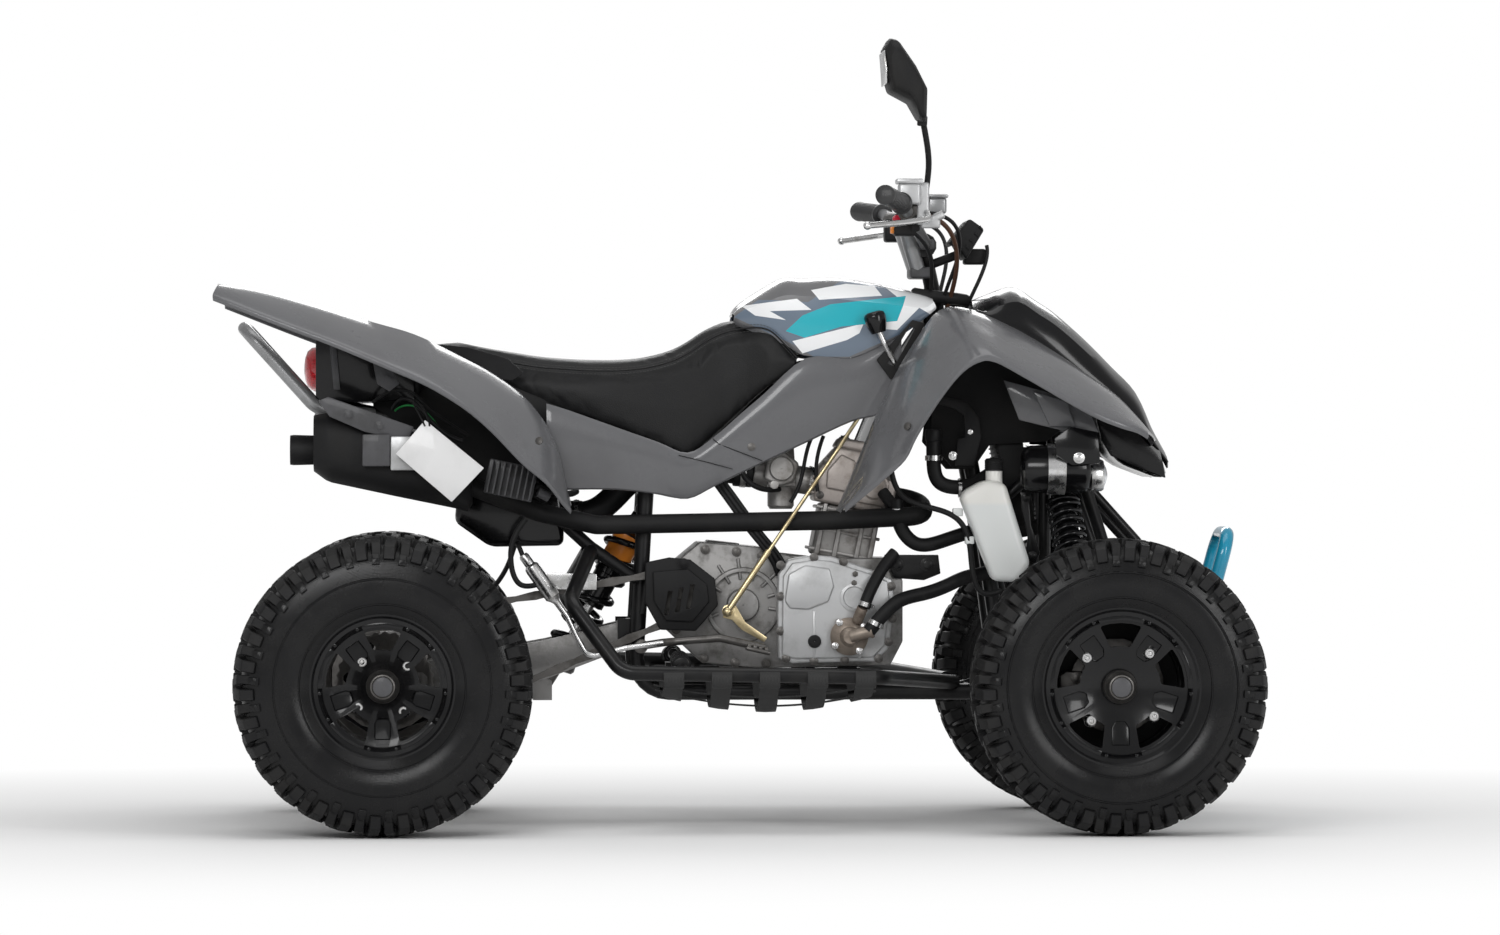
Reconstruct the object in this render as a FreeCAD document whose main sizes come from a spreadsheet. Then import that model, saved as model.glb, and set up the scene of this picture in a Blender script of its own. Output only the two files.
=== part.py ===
import FreeCAD, Part
import math
import os
import Sketcher
from FreeCAD import Vector

# Quad bike, millimetres. X points forward, Y to the left, Z up.
# The origin is on the floor below the middle of the overall length.

doc = FreeCAD.newDocument("QuadBike")
sheet = doc.addObject("Spreadsheet::Sheet", "Sizes")

sizeRows = [
    # Wheels and stance
    ("wheelbase", 1285, "rear axle to front axle"),
    ("rearAxleX", -618.5, "rear axle from the middle of the length"),
    ("frontHalfTrack", 465, "centre line to the front wheel plane"),
    ("rearHalfTrack", 435, "centre line to the rear wheel plane"),
    ("frontTyreR", 260, "front tyre, over the lugs"),
    ("rearTyreR", 262, "rear tyre, over the lugs"),
    ("frontTyreW", 176, "front tyre width"),
    ("rearTyreW", 250, "rear tyre width"),
    ("frontSeatR", 127, "bead seat of the 10 inch rim"),
    ("rearSeatR", 114.5, "bead seat of the 9 inch rim"),
    ("flangeRise", 16, "rim flange above the bead seat"),
    ("frontRimW", 132, "front rim width"),
    ("rearRimW", 206, "rear rim width"),
    ("lugRise", 13, "lug height"),
    ("lugCount", 27, "lug pitches round a tyre"),
    # Frame
    ("railR", 14, "main frame tube radius"),
    ("railY", 105, "lower rail from the centre line"),
    ("railZ", 239, "lower rail height"),
    ("pivotX", -175, "swingarm pivot"),
    ("pivotZ", 345, "swingarm pivot height"),
    ("armR", 13, "suspension arm tube radius"),
    # Steering
    ("stemFootBack", 144.5, "stem foot behind the front axle"),
    ("stemFootZ", 290, "lower end height"),
    ("stemHeadBack", 310.5, "handlebar clamp behind the front axle"),
    ("stemHeadZ", 1045, "handlebar clamp height"),
    ("stemR", 14, "steering stem radius"),
    ("barR", 11, "handlebar tube radius"),
    ("barHalf", 385, "half of the handlebar width"),
    ("kingInset", 80, "kingpin inside the front wheel plane"),
    # Clearances
    ("seatGap", 0.3, "between pieces that rest on each other"),
    ("runGap", 6, "between pieces that move past each other"),
]
for row, (name, value, note) in enumerate(sizeRows, start=1):
    sheet.set("A%d" % row, name)
    sheet.set("B%d" % row, "%g" % value)
    sheet.setAlias("B%d" % row, name)
    sheet.set("C%d" % row, note)
doc.recompute()


def size(name):
    return float(getattr(sheet, name))


rearX = size("rearAxleX")
frontX = rearX + size("wheelbase")
rearZ = size("rearTyreR")
frontZ = size("frontTyreR")
kingY = size("frontHalfTrack") - size("kingInset")
gap = size("seatGap")
railR = size("railR")
railY = size("railY")
railZ = size("railZ")
pivot = Vector(size("pivotX"), 0, size("pivotZ"))
stemFoot = Vector(frontX - size("stemFootBack"), 0, size("stemFootZ"))
stemHead = Vector(frontX - size("stemHeadBack"), 0, size("stemHeadZ"))
stemDir = (stemHead - stemFoot).normalize()
xAxis = Vector(1, 0, 0)
yAxis = Vector(0, 1, 0)
zAxis = Vector(0, 0, 1)
sides = (("left", 1), ("right", -1))


def ahead(points, start=frontX):
    """Points whose x is measured from the front axle, or from another place."""
    return [(start + p[0],) + tuple(p[1:]) for p in points]


# Shape helpers

def sidesFor(radius):
    """Number of flats that stands for a round section of this radius."""
    if radius < 7:
        return 6
    if radius < 21:
        return 8
    return 12 if radius < 60 else 20


def ringAt(centre, along, across, radius, sides):
    other = along.cross(across)
    ring = []
    for i in range(sides):
        angle = 2 * math.pi * (i + 0.5) / sides
        ring.append(centre + across * (radius * math.cos(angle)) + other * (radius * math.sin(angle)))
    return ring


def acrossOf(along):
    """A direction square to a line, level where it can be."""
    guide = zAxis if abs(along.z) < 0.9 else Vector(1, 0, 0)
    return along.cross(guide).normalize()


def tube(points, radius, bend):
    """A bar of flats along straight runs joined by tangent bends, each bend in steps of 30 degrees."""
    corners = [Vector(*p) for p in points]
    sides = sidesFor(radius)
    along = (corners[1] - corners[0]).normalize()
    across = acrossOf(along)
    rings = [ringAt(corners[0], along, across, radius, sides)]
    for before, corner, after in zip(corners, corners[1:], corners[2:]):
        ahead = (after - corner).normalize()
        turn = along.getAngle(ahead)
        if turn < 0.03:
            continue
        axis = along.cross(ahead).normalize()
        start = corner - along * (bend * math.tan(turn / 2))
        pole = start + axis.cross(along) * bend
        steps = max(1, round(turn / 0.52))
        for i in range(steps + 1):
            spin = FreeCAD.Rotation(axis, math.degrees(turn * i / steps))
            centre = pole + spin.multVec(start - pole)
            rings.append(ringAt(centre, spin.multVec(along), spin.multVec(across), radius, sides))
        spin = FreeCAD.Rotation(axis, math.degrees(turn))
        across = spin.multVec(across)
        along = ahead
    rings.append(ringAt(corners[-1], along, across, radius, sides))
    return hull(rings)


def bar(start, end, radius, sides=0):
    start = Vector(*start)
    end = Vector(*end)
    along = (end - start).normalize()
    across = acrossOf(along)
    sides = sides or sidesFor(radius)
    return hull([ringAt(point, along, across, radius, sides) for point in (start, end)])


def barrel(centre, axis, radius, length, sides=0):
    """A round piece centred on a point."""
    axis = Vector(*axis).normalize()
    centre = Vector(*centre)
    return bar(centre - axis * (length / 2), centre + axis * (length / 2), radius, sides)


def bore(start, end, radius, sides=16):
    """A hole whose flats lie just outside a round of this radius."""
    return bar(start, end, radius / math.cos(math.pi / sides), sides)


def turned(profile, sides, centre=(0, 0, 0)):
    """A wheel-like solid about the Y axis from (y, radius) corners, in flats."""
    origin = Vector(*centre)
    rings = []
    for i in range(sides):
        angle = 2 * math.pi * i / sides
        rings.append([origin + Vector(r * math.sin(angle), y, r * math.cos(angle)) for y, r in profile])
    faces = []
    for one, two in zip(rings, rings[1:] + rings[:1]):
        for i in range(len(one)):
            j = (i + 1) % len(one)
            faces.extend(facets([one[i], one[j], two[j], two[i]]))
    return solidOf(faces)


def solidOf(faces):
    solid = Part.makeSolid(Part.makeShell(faces))
    if solid.Volume < 0:
        solid.reverse()
    return solid


def box(low, high):
    low = Vector(*low)
    extent = Vector(*high) - low
    return Part.makeBox(extent.x, extent.y, extent.z, low)


def plate(outline, y0, y1):
    """A flat piece with its outline in the side view."""
    corners = [Vector(x, y0, z) for x, z in outline]
    face = Part.Face(Part.makePolygon(corners + corners[:1]))
    return face.extrude(Vector(0, y1 - y0, 0))


def slab(outline, thickness):
    """A flat piece from three or more points in space, thickened along its normal."""
    corners = [Vector(*p) for p in outline]
    face = Part.Face(Part.makePolygon(corners + corners[:1]))
    return face.extrude(face.normalAt(0, 0) * thickness)


def hull(sections):
    """Flat faced body through closed outlines with equal numbers of points."""
    faces = []
    rings = [[Vector(*p) for p in ring] for ring in sections]
    for ring in (rings[0], rings[-1]):
        faces.extend(lid(ring))
    for one, two in zip(rings, rings[1:]):
        for i in range(len(one)):
            j = (i + 1) % len(one)
            faces.extend(facets([one[i], one[j], two[j], two[i]]))
    return solidOf(faces)


def lid(ring):
    """One face where the outline is flat, else a fan about its middle."""
    centre = sum(ring, Vector()) * (1 / len(ring))
    normal = (ring[0] - centre).cross(ring[1] - centre)
    if normal.Length > 1e-6 and all(abs((p - centre).dot(normal.normalize())) < 1e-5 for p in ring):
        return [Part.Face(Part.makePolygon(ring + ring[:1]))]
    return [Part.Face(Part.makePolygon([centre, a, b, centre])) for a, b in zip(ring, ring[1:] + ring[:1])]


def facets(quad):
    a, b, c, d = quad
    normal = (b - a).cross(c - a)
    if normal.Length > 1e-6 and abs((d - a).dot(normal.normalize())) < 1e-4:
        return [Part.Face(Part.makePolygon([a, b, c, d, a]))]
    return [Part.Face(Part.makePolygon([a, b, c, a])), Part.Face(Part.makePolygon([a, c, d, a]))]


def skin(rows, thickness):
    """A moulded panel: a net of points given thickness along its own normals."""
    net = [[Vector(*p) for p in row] for row in rows]
    inner = []
    last = len(net) - 1
    width = len(net[0]) - 1
    for i, row in enumerate(net):
        inner.append([])
        for j, point in enumerate(row):
            along = net[min(i + 1, last)][j] - net[max(i - 1, 0)][j]
            across = row[min(j + 1, width)] - row[max(j - 1, 0)]
            inner[i].append(point - along.cross(across).normalize() * thickness)
    faces = []
    for i in range(last):
        for j in range(width):
            quad = [net[i][j], net[i + 1][j], net[i + 1][j + 1], net[i][j + 1]]
            faces.extend(facets(quad))
            quad = [inner[i][j], inner[i + 1][j], inner[i + 1][j + 1], inner[i][j + 1]]
            faces.extend(facets(quad))
    rim = [(i, 0) for i in range(last)] + [(last, j) for j in range(width)]
    rim += [(i, width) for i in range(last, 0, -1)] + [(0, j) for j in range(width, 0, -1)]
    for (i, j), (k, n) in zip(rim, rim[1:] + rim[:1]):
        faces.extend(facets([net[i][j], net[k][n], inner[k][n], inner[i][j]]))
    return solidOf(faces)


def join(shapes):
    first, rest = shapes[0], shapes[1:]
    if not rest:
        return first
    whole = first.fuse(rest)
    clean = whole.copy().removeSplitter()
    return clean if clean.isValid() else whole


def mirrored(shape):
    return shape.mirror(Vector(0, 0, 0), yAxis)


def onSide(shape, side):
    return shape if side > 0 else mirrored(shape)


made = {}


def piece(label, shape, seatedOn=()):
    """Adds a sub-part; it is cut face to face where it meets the named earlier ones."""
    for other in seatedOn:
        shape = shape.cut(made[other])
    solids = sorted(shape.Solids, key=lambda solid: -solid.Volume)
    if len(solids) > 1 and sum(s.Volume for s in solids[1:]) < 0.02 * solids[0].Volume:
        solids = solids[:1]
    if len(solids) == 1:
        shape = solids[0]
    item = doc.addObject("Part::Feature", label)
    item.Shape = shape
    item.Placement = FreeCAD.Placement()
    item.Label = label
    made[label] = item.Shape
    return item


# Sketched bodies

def newBody(label):
    body = doc.addObject("PartDesign::Body", label)
    body.Label = label
    return body


def sketchOn(body, plane, name, points, offset=None):
    """Closed outline; a number is a fixed size, a text an expression on the sheet."""
    sketch = body.newObject("Sketcher::SketchObject", name)
    origin = [f for f in body.Origin.OriginFeatures if f.Role == plane][0]
    sketch.AttachmentSupport = [(origin, "")]
    sketch.MapMode = "FlatFace"
    if offset:
        sketch.setExpression(".AttachmentOffset.Base.z", offset)
    known = [[value(c) for c in p] for p in points]
    count = len(points)
    for i in range(count):
        a, b = known[i], known[(i + 1) % count]
        sketch.addGeometry(Part.LineSegment(Vector(a[0], a[1], 0), Vector(b[0], b[1], 0)), False)
    for i in range(count):
        sketch.addConstraint(Sketcher.Constraint("Coincident", i, 2, (i + 1) % count, 1))
    for i, point in enumerate(points):
        for kind, given, number in zip(("DistanceX", "DistanceY"), point, known[i]):
            index = sketch.addConstraint(Sketcher.Constraint(kind, -1, 1, i, 1, number))
            if isinstance(given, str):
                sketch.setExpression("Constraints[%d]" % index, given)
    return sketch


def value(term):
    """The number of a size, or of a sum of sizes and numbers such as 'Sizes.a + 3'."""
    if not isinstance(term, str):
        return float(term)
    total = 0.0
    sign = 1
    for word in term.split():
        if word in "+-":
            sign = 1 if word == "+" else -1
        else:
            total += sign * (size(word[6:]) if word.startswith("Sizes.") else float(word))
    return total


def revolve(body, sketch, name="turned", cut=False):
    kind = "PartDesign::Groove" if cut else "PartDesign::Revolution"
    turned = body.newObject(kind, name)
    turned.Profile = sketch
    turned.ReferenceAxis = (sketch, ["V_Axis"])
    turned.Angle = 360
    body.Tip = turned
    return turned


def place(body, x, y, z, turn=0, axis=Vector(1, 0, 0)):
    body.Placement = FreeCAD.Placement(Vector(x, y, z), FreeCAD.Rotation(axis, turn))


# Frame

def frameCradle():
    shapes = []
    for name, side in sides:
        path = [
            (-150, 98 * side, 600), (-172, railY * side, railZ),
        ] + ahead([(-166.5, 92 * side, railZ), (-211.5, 72 * side, 560), (-264.5, 34 * side, 850)])
        shapes.append(tube(path, railR, 60))
    for x, z, y in ((-104, railZ, railY), (150, railZ, railY), (frontX - 226, railZ, 94), (-152, 596, 98)):
        shapes.append(barrel((x, 0, z), (0, 1, 0), 11, 2 * y))
    for x, top in ((150, 281.7), (-104, 290)):
        shapes.append(box((x - 8, -30, railZ), (x + 8, 30, top)))
    for side in (1, -1):
        near, far = sorted((18 * side, 24 * side))
        shapes.append(box((-164, near, 554), (-140, far, 596)))
        near, far = sorted((88 * side, 94 * side))
        shapes.append(box((pivot.x - 26, near, pivot.z - 26), (pivot.x + 16, far, pivot.z + 26)))
    shapes.append(bar(stemPoint(820), stemPoint(880), 26))
    hole = bore(stemPoint(800), stemPoint(900), size("stemR") + gap)
    return join(shapes).cut(hole)


def stemPoint(z):
    """Point of the steering axis at a height."""
    return stemFoot + stemDir * ((z - stemFoot.z) / stemDir.z)


def frameUpper():
    shapes = []
    for name, side in sides:
        rail = [
            (frontX - 272.5, 62 * side, 838), (60, 62 * side, 776), (-152, 98 * side, 618),
            (-330, 98 * side, 672), (-700, 98 * side, 752),
        ]
        shapes.append(tube(rail, railR, 70))
        brace = [(-164, 104 * side, 440), (-250, 100 * side, 500), (-470, 98 * side, 700)]
        shapes.append(tube(brace, 11, 60))
    for x, z in ((-330, 672), (-690, 750), (60, 776)):
        y = 62 if x > 0 else 98
        shapes.append(barrel((x, 0, z), (0, 1, 0), 10, 2 * y))
    return join(shapes)


def clevis(x, y, z, length, height, side):
    """Two tabs and a base plate that hold an arm bush lying along X."""
    near, far = sorted(((y - 12) * side, (y - 17) * side))
    low, high = sorted(((y - 14) * side, (y + 8) * side))
    half = length / 2
    shapes = [box((x - half - 5, near, z - height / 2), (x + half + 5, far, z + height / 2))]
    for start in (x - half - 5, x + half):
        shapes.append(box((start, low, z - height / 2), (start + 5, high, z + height / 2)))
    return shapes


lowerBushX = (frontX + 66, frontX - 96)
upperBushX = (frontX + 40, frontX - 90)
lowerBush = (112, railZ - 17)
upperBush = (124, frontZ + 92)
shockTop = (frontX - 78, 140, 636)
shockFoot = (frontX - 24, kingY - 67, frontZ - 11)


def frameFront():
    shapes = []
    for name, side in sides:
        lower = [(frontX - 196, 88 * side, railZ - 1), (frontX + 85, 76 * side, railZ - 4)]
        shapes.append(bar(*lower, 12))
        front = [
            (frontX + 72, 77 * side, railZ - 4), (frontX + 42, 98 * side, 400),
            (frontX - 40, 136 * side, 650),
        ]
        rear = [
            (frontX - 124, 82 * side, railZ - 3), (frontX - 98, 98 * side, 400),
            (frontX - 100, 132 * side, 650),
        ]
        shapes.append(tube(front, 11, 60))
        shapes.append(tube(rear, 11, 60))
        stay = ahead([(-208.5, 84 * side, 560), (-166.5, 124 * side, 592), (-104, 118 * side, 648)])
        shapes.append(tube(stay, 10, 40))
        shapes.append(bar((frontX - 66, 60 * side, 650), (frontX - 106, 60 * side, 934), 8))
        for x in lowerBushX:
            shapes += clevis(x, lowerBush[0] - 8, lowerBush[1], 46, 30, side)
            near, far = sorted((76 * side, 92 * side))
            shapes.append(box((x - 28, near, lowerBush[1] - 4), (x + 28, far, lowerBush[1] + 10)))
        for x in upperBushX:
            shapes += clevis(x, upperBush[0] - 6, upperBush[1], 40, 28, side)
            near, far = sorted((92 * side, 104 * side))
            shapes.append(box((x - 10, near, upperBush[1] - 12), (x + 10, far, upperBush[1] + 12)))
    for x, y, z in ((-124, 82, railZ - 3), (72, 77, railZ - 4), (42, 98, 400), (-98, 98, 400)):
        shapes.append(barrel((frontX + x, 0, z), (0, 1, 0), 10, 2 * y))
    shapes.append(barrel((shockTop[0], 0, 652), (0, 1, 0), 11, 240))
    for side in (1, -1):
        near, far = sorted((112 * side, 124 * side))
        shapes.append(box((shockTop[0] - 28, near, 640), (shockTop[0] + 28, far, 656)))
    foot = bar(stemPoint(300), stemPoint(330), 24)
    web = plate([(stemFoot.x, 300), (stemFoot.x + 40, 300), (frontX - 92, 404), (frontX - 104, 400)], -12, 12)
    return join(shapes + [foot, web]).cut(bore(stemPoint(280), stemPoint(350), size("stemR") + gap))


piece("frame_cradle", frameCradle())
piece("frame_upper", frameUpper(), ["frame_cradle"])
piece("frame_front", frameFront(), ["frame_cradle", "frame_upper"])


# Suspension

def lowerArm(side):
    ball = Vector(frontX + 6, (kingY - 14) * side, frontZ - 58)
    shapes = [barrel(ball, (0, 0, 1), 20, 26)]
    for x in lowerBushX:
        shapes.append(bar((x, lowerBush[0] * side, lowerBush[1]), ball, size("armR")))
        shapes.append(barrel((x, lowerBush[0] * side, lowerBush[1]), (1, 0, 0), 17, 46))
    near, far = sorted(((kingY - 87) * side, (kingY - 49) * side))
    shapes.append(box((frontX - 50, near, frontZ - 58), (frontX + 34, far, frontZ - 48)))
    near, far = sorted(((shockFoot[1] - 12) * side, (shockFoot[1] + 12) * side))
    for x in (shockFoot[0] - 21, shockFoot[0] + 16):
        shapes.append(box((x, near, frontZ - 56), (x + 5, far, shockFoot[2] + 9)))
    return join(shapes)


def upperArm(side):
    ball = Vector(frontX - 12, (kingY - 34) * side, frontZ + 74)
    shapes = [barrel(ball, (0, 0, 1), 18, 24)]
    for x, knee in zip(upperBushX, (frontX + 36, frontX - 88)):
        route = [(x, upperBush[0] * side, upperBush[1]), (knee, (kingY - 99) * side, frontZ + 80), tuple(ball)]
        shapes.append(tube(route, 11, 30))
        shapes.append(barrel((x, upperBush[0] * side, upperBush[1]), (1, 0, 0), 17, 40))
    return join(shapes)


def shockEnds(side):
    top = Vector(shockTop[0], shockTop[1] * side, shockTop[2])
    bottom = Vector(shockFoot[0], shockFoot[1] * side, shockFoot[2])
    return top, bottom


def coil(start, end, radius, wire, turns, steps=6):
    """A helical spring made of flat faced links of three-sided wire."""
    axis = end - start
    length = axis.Length
    axis.normalize()
    across = acrossOf(axis)
    other = axis.cross(across)
    rings = []
    for i in range(turns * steps + 1):
        angle = 2 * math.pi * i / steps
        out = across * math.cos(angle) + other * math.sin(angle)
        centre = start + axis * (length * i / (turns * steps)) + out * (radius - wire)
        rings.append([centre + out * (wire * a) + axis * (wire * b) for a, b in ((1, 0), (-0.6, 0.9), (-0.6, -0.9))])
    return hull(rings)


def frontShock(side):
    top, bottom = shockEnds(side)
    line = (bottom - top).normalize()
    at = lambda d: top + line * d
    total = (bottom - top).Length
    shapes = [
        barrel(top, (1, 0, 0), 14, 24),
        barrel(top, (1, 0, 0), 6, 48),
        bar(top, at(36), 18),
        bar(at(36), at(60), 26),
        bar(at(60), at(190), 17),
        bar(at(170), at(total - 60), 10),
        bar(at(total - 66), at(total - 52), 27),
        bar(at(total - 54), bottom, 15),
        barrel(bottom, (1, 0, 0), 14, 31.4),
    ]
    return join(shapes)


def frontSpring(side):
    top, bottom = shockEnds(side)
    line = (bottom - top).normalize()
    total = (bottom - top).Length
    return coil(top + line * 58, top + line * (total - 64), 29, 5, 8)


for name, side in sides:
    piece("lower_arm_" + name, lowerArm(side))
    piece("upper_arm_" + name, upperArm(side))
    piece("front_shock_" + name, join([frontShock(side), frontSpring(side)]), ["frame_front"])


def swingarm():
    shapes = [barrel(pivot, (0, 1, 0), 24, 175.4)]
    for side in (1, -1):
        y = 67 * side
        arm = plate([
            (pivot.x, pivot.z + 24), (pivot.x, pivot.z - 24), (-330, 262), (rearX + 64, 230), (rearX + 64, 292),
            (-330, 332),
        ], y - 13, y + 13)
        shapes.append(arm)
        near, far = sorted((18 * side, 24 * side))
        shapes.append(plate([(-408, 290), (-372, 300), (-318, 256), (-318, 222), (-352, 222)], near, far))
    shapes.append(box((rearX + 56, -78, 232), (rearX + 90, 78, 290)))
    shapes.append(box((-408, -60, 264), (-380, 60, 318)))
    return join(shapes)


def axleCarrier():
    shell = barrel((rearX, 0, rearZ), (0, 1, 0), 58, 118)
    shell = shell.fuse(box((rearX, -56, 222), (rearX + 62, 56, 300)))
    shell = shell.fuse(plate([(rearX - 30, 296), (rearX + 60, 304), (rearX + 72, 350), (rearX - 10, 346)], -40, 40))
    return shell


axleHole = bore((rearX, -100, rearZ), (rearX, 100, rearZ), 18 + gap)


def rearShockEnds():
    return Vector(-152, 0, 566), Vector(-336, 0, 240)


def rearShock():
    top, bottom = rearShockEnds()
    line = (bottom - top).normalize()
    at = lambda d: top + line * d
    total = (bottom - top).Length
    shapes = [
        barrel(top, (0, 1, 0), 16, 35.4),
        bar(top, at(34), 15),
        bar(at(34), at(50), 36),
        bar(at(50), at(200), 22),
        bar(at(200), at(total - 50), 10),
        bar(at(total - 62), at(total - 46), 34),
        bar(at(total - 48), bottom, 12),
        barrel(bottom, (0, 1, 0), 15, 35.4),
    ]
    return join(shapes)


def rearSpring():
    top, bottom = rearShockEnds()
    line = (bottom - top).normalize()
    total = (bottom - top).Length
    return coil(top + line * 48, top + line * (total - 60), 38, 6, 7)


piece("swingarm", join([swingarm(), axleCarrier()]).cut(axleHole), ["frame_cradle"])
piece("rear_shock", join([rearShock(), rearSpring()]))


# Engine and what hangs on it

crankOutline = [
    (-124, 400), (-118, 455), (-53, 509), (60, 500), (120, 480), (290, 480), (312, 440),
    (312, 330), (290, 288), (60, 282), (-50, 292), (-112, 350),
]


clutchOutline = [(-60, 470), (60, 492), (250, 470), (296, 400), (286, 310), (60, 300), (-70, 320)]


def crankcase():
    body = newBody("engine_crankcase")
    sketch = sketchOn(body, "XZ_Plane", "caseOutline", crankOutline, "-112 mm")
    pad = body.newObject("PartDesign::Pad", "caseBlock")
    pad.Profile = sketch
    pad.Length = 224
    body.Tip = pad
    sketch = sketchOn(body, "XZ_Plane", "clutchOutline", clutchOutline, "-156 mm")
    pad = body.newObject("PartDesign::Pad", "clutchCover")
    pad.Profile = sketch
    pad.Length = 50
    body.Tip = pad
    doc.recompute()
    made["engine_crankcase"] = body.Shape
    return body


def lean(points, base=(204, 480), degrees=11):
    """Turns side view points of the upright cylinder to its forward lean."""
    c, s = math.cos(math.radians(degrees)), math.sin(math.radians(degrees))
    return [(base[0] + x * c + z * s, base[1] - x * s + z * c) for x, z in points]


def engineCylinder():
    shapes = [plate(lean([(-56, 0.3), (56, 0.3), (56, 92), (-56, 92)]), -62, 62)]
    for i in range(5):
        z = 14 + i * 16
        shapes.append(plate(lean([(-66, z), (66, z), (66, z + 6), (-66, z + 6)]), -72, 72))
    shapes.append(plate(lean([(-70, 92), (70, 92), (74, 150), (40, 196), (-44, 196), (-72, 150)]), -74, 74))
    shapes.append(plate(lean([(-50, 196), (46, 196), (38, 216), (-42, 216)]), -60, 60))
    return join(shapes)


generatorOutline = [
    (90, 473), (126, 495), (198, 482), (262, 455), (297, 401), (293, 320), (262, 294),
    (112, 290), (90, 320), (84, 401),
]


def sideCover(label, outline, nearY, depth, edge):
    """Engine cover: padded outline with a chamfered outer rim."""
    body = newBody(label)
    sketch = sketchOn(body, "XZ_Plane", label + "Outline", outline, "%g mm" % nearY)
    pad = body.newObject("PartDesign::Pad", label + "Pad")
    pad.Profile = sketch
    pad.Length = depth
    body.Tip = pad
    doc.recompute()
    return body


crankcase()
piece("engine_cylinder", engineCylinder(), ["engine_crankcase"])
sideCover("generator_cover", generatorOutline, 112.3, 50, 8)
coverPlate = plate([(-153, 473), (-72, 478), (-28, 444), (-22, 396), (-62, 350), (-126, 352), (-154, 402)], -152, -145)
posts = [bar((x, -112.3, z), (x, -146, z), 5) for x, z in ((-33, 438), (-29, 404))]
piece("sprocket_cover", join([coverPlate] + posts))


def waterPump():
    shapes = [
        barrel((213, -175.6, 340), (0, 1, 0), 30, 26),
        barrel((213, -196, 340), (0, 1, 0), 17, 18),
        bar((213, -190, 340), (252, -190, 352), 10),
    ]
    return join(shapes)


def carburettor():
    shapes = [
        bar((42, -34, 634), (157, -22, 617), 25),
        barrel((96, -28, 664), (0, 0, 1), 24, 46),
        barrel((96, -28, 590), (0, 0, 1), 22, 44),
        box((70, -72, 610), (120, -44, 646)),
    ]
    return join(shapes)


exhaustPath = [
    (276, -30, 596), (348, -34, 582), (352, -112, 556), (180, -131, 548), (-240, -131, 540),
    (-340, -128, 562), (-470, -190, 612),
]

muffler = hull([
    [(-466, -152, 556), (-466, -238, 566), (-466, -240, 660), (-466, -170, 664)],
    [(-492, -146, 566), (-492, -262, 572), (-492, -266, 684), (-492, -160, 690)],
    [(-716, -150, 612), (-716, -272, 616), (-716, -272, 738), (-716, -158, 742)],
    [(-744, -160, 622), (-744, -262, 626), (-744, -262, 722), (-744, -168, 726)],
])
outlet = Vector(-786, -212, 674)
outletBore, outletDepth = 20, 30
tip = bar((-740, outlet.y, outlet.z), outlet, 27).cut(Part.makeCylinder(outletBore, outletDepth, outlet, xAxis))
piece("water_pump", waterPump())
piece("carburettor", carburettor(), ["engine_cylinder"])
piece("exhaust", join([tube(exhaustPath, 17, 34), muffler, tip]), ["engine_cylinder"])
airbox = hull([
    [(-300, -78, 520), (-300, 78, 520), (-300, 78, 618), (-300, -78, 618)],
    [(-450, -80, 500), (-450, 80, 500), (-450, 80, 640), (-450, -80, 640)],
    [(-494, -70, 545), (-494, 70, 545), (-494, 70, 620), (-494, -70, 620)],
])
intakeHose = tube([(-304, -30, 556), (-236, -30, 562), (-160, -30, 646), (41.7, -34, 634)], 24, 50)
piece("airbox", join([airbox, intakeHose]), ["carburettor"])


def regulator():
    shapes = [box((-440, -226, 578), (-350, -204, 660))]
    for i in range(7):
        x = -438 + i * 14
        shapes.append(box((x, -246, 578), (x + 4, -226, 660)))
    shapes.append(box((-408, -206, 650), (-388, -100, 656)))
    shapes.append(box((-408, -118, 650), (-388, -100, 690)))
    return join(shapes)


def radiator():
    core = plate(ahead([(-156.5, 520), (-110.5, 528), (-148.5, 770), (-194.5, 762)]), -92, 92)
    tank = plate(ahead([(-160.5, 545), (-106.5, 554), (-138.5, 745), (-192.5, 737)]), -110, 110)
    hoses = [
        tube([(246, -190, 350), (290, -186, 405), (350, -178, 416)]
             + ahead([(-210.5, -140, 470), (-138.5, -100, 590)]), 12, 30),
        tube([(262, -66, 594), (310, -92, 606), (384, -98, 606)] + ahead([(-160.5, -98, 668)]), 12, 24),
    ]
    return join([core, tank] + hoses)


piece("regulator", regulator(), ["frame_upper"])
piece("radiator", radiator(), ["water_pump", "engine_cylinder", "frame_front", "frame_cradle"])
bottle = plate(ahead([
    (-216.5, 667), (-183.5, 667), (-180.5, 630), (-135.5, 475), (-154.5, 448), (-207.5, 448), (-238.5, 600),
]), -226, -164)
tab = box((frontX - 192, -170, 606), (frontX - 154, -104, 614))
piece("coolant_bottle", join([bottle, tab]), ["radiator", "frame_front"])


# Drive

sprocketR = 42
rearSprocketR = 104
chainY = -128
driveCentre = Vector(-92, chainY, 418)


def chainLoop():
    """Chain path as centre points round both sprockets, then one link plate per point."""
    near = (driveCentre.x, driveCentre.z)
    far = (rearX, rearZ)
    span = math.hypot(far[0] - near[0], far[1] - near[1])
    heading = math.atan2(near[1] - far[1], near[0] - far[0])
    lap = math.asin((rearSprocketR - sprocketR) / span)
    points = []
    for centre, radius, start, end, steps in (
            (far, rearSprocketR, heading + math.pi / 2 + lap, heading + 1.5 * math.pi - lap, 12),
            (near, sprocketR, heading - math.pi / 2 - lap, heading + math.pi / 2 + lap, 6)):
        for i in range(steps + 1):
            angle = start + (end - start) * i / steps
            points.append((centre[0] + radius * math.cos(angle), centre[1] + radius * math.sin(angle)))
    return points


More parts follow.
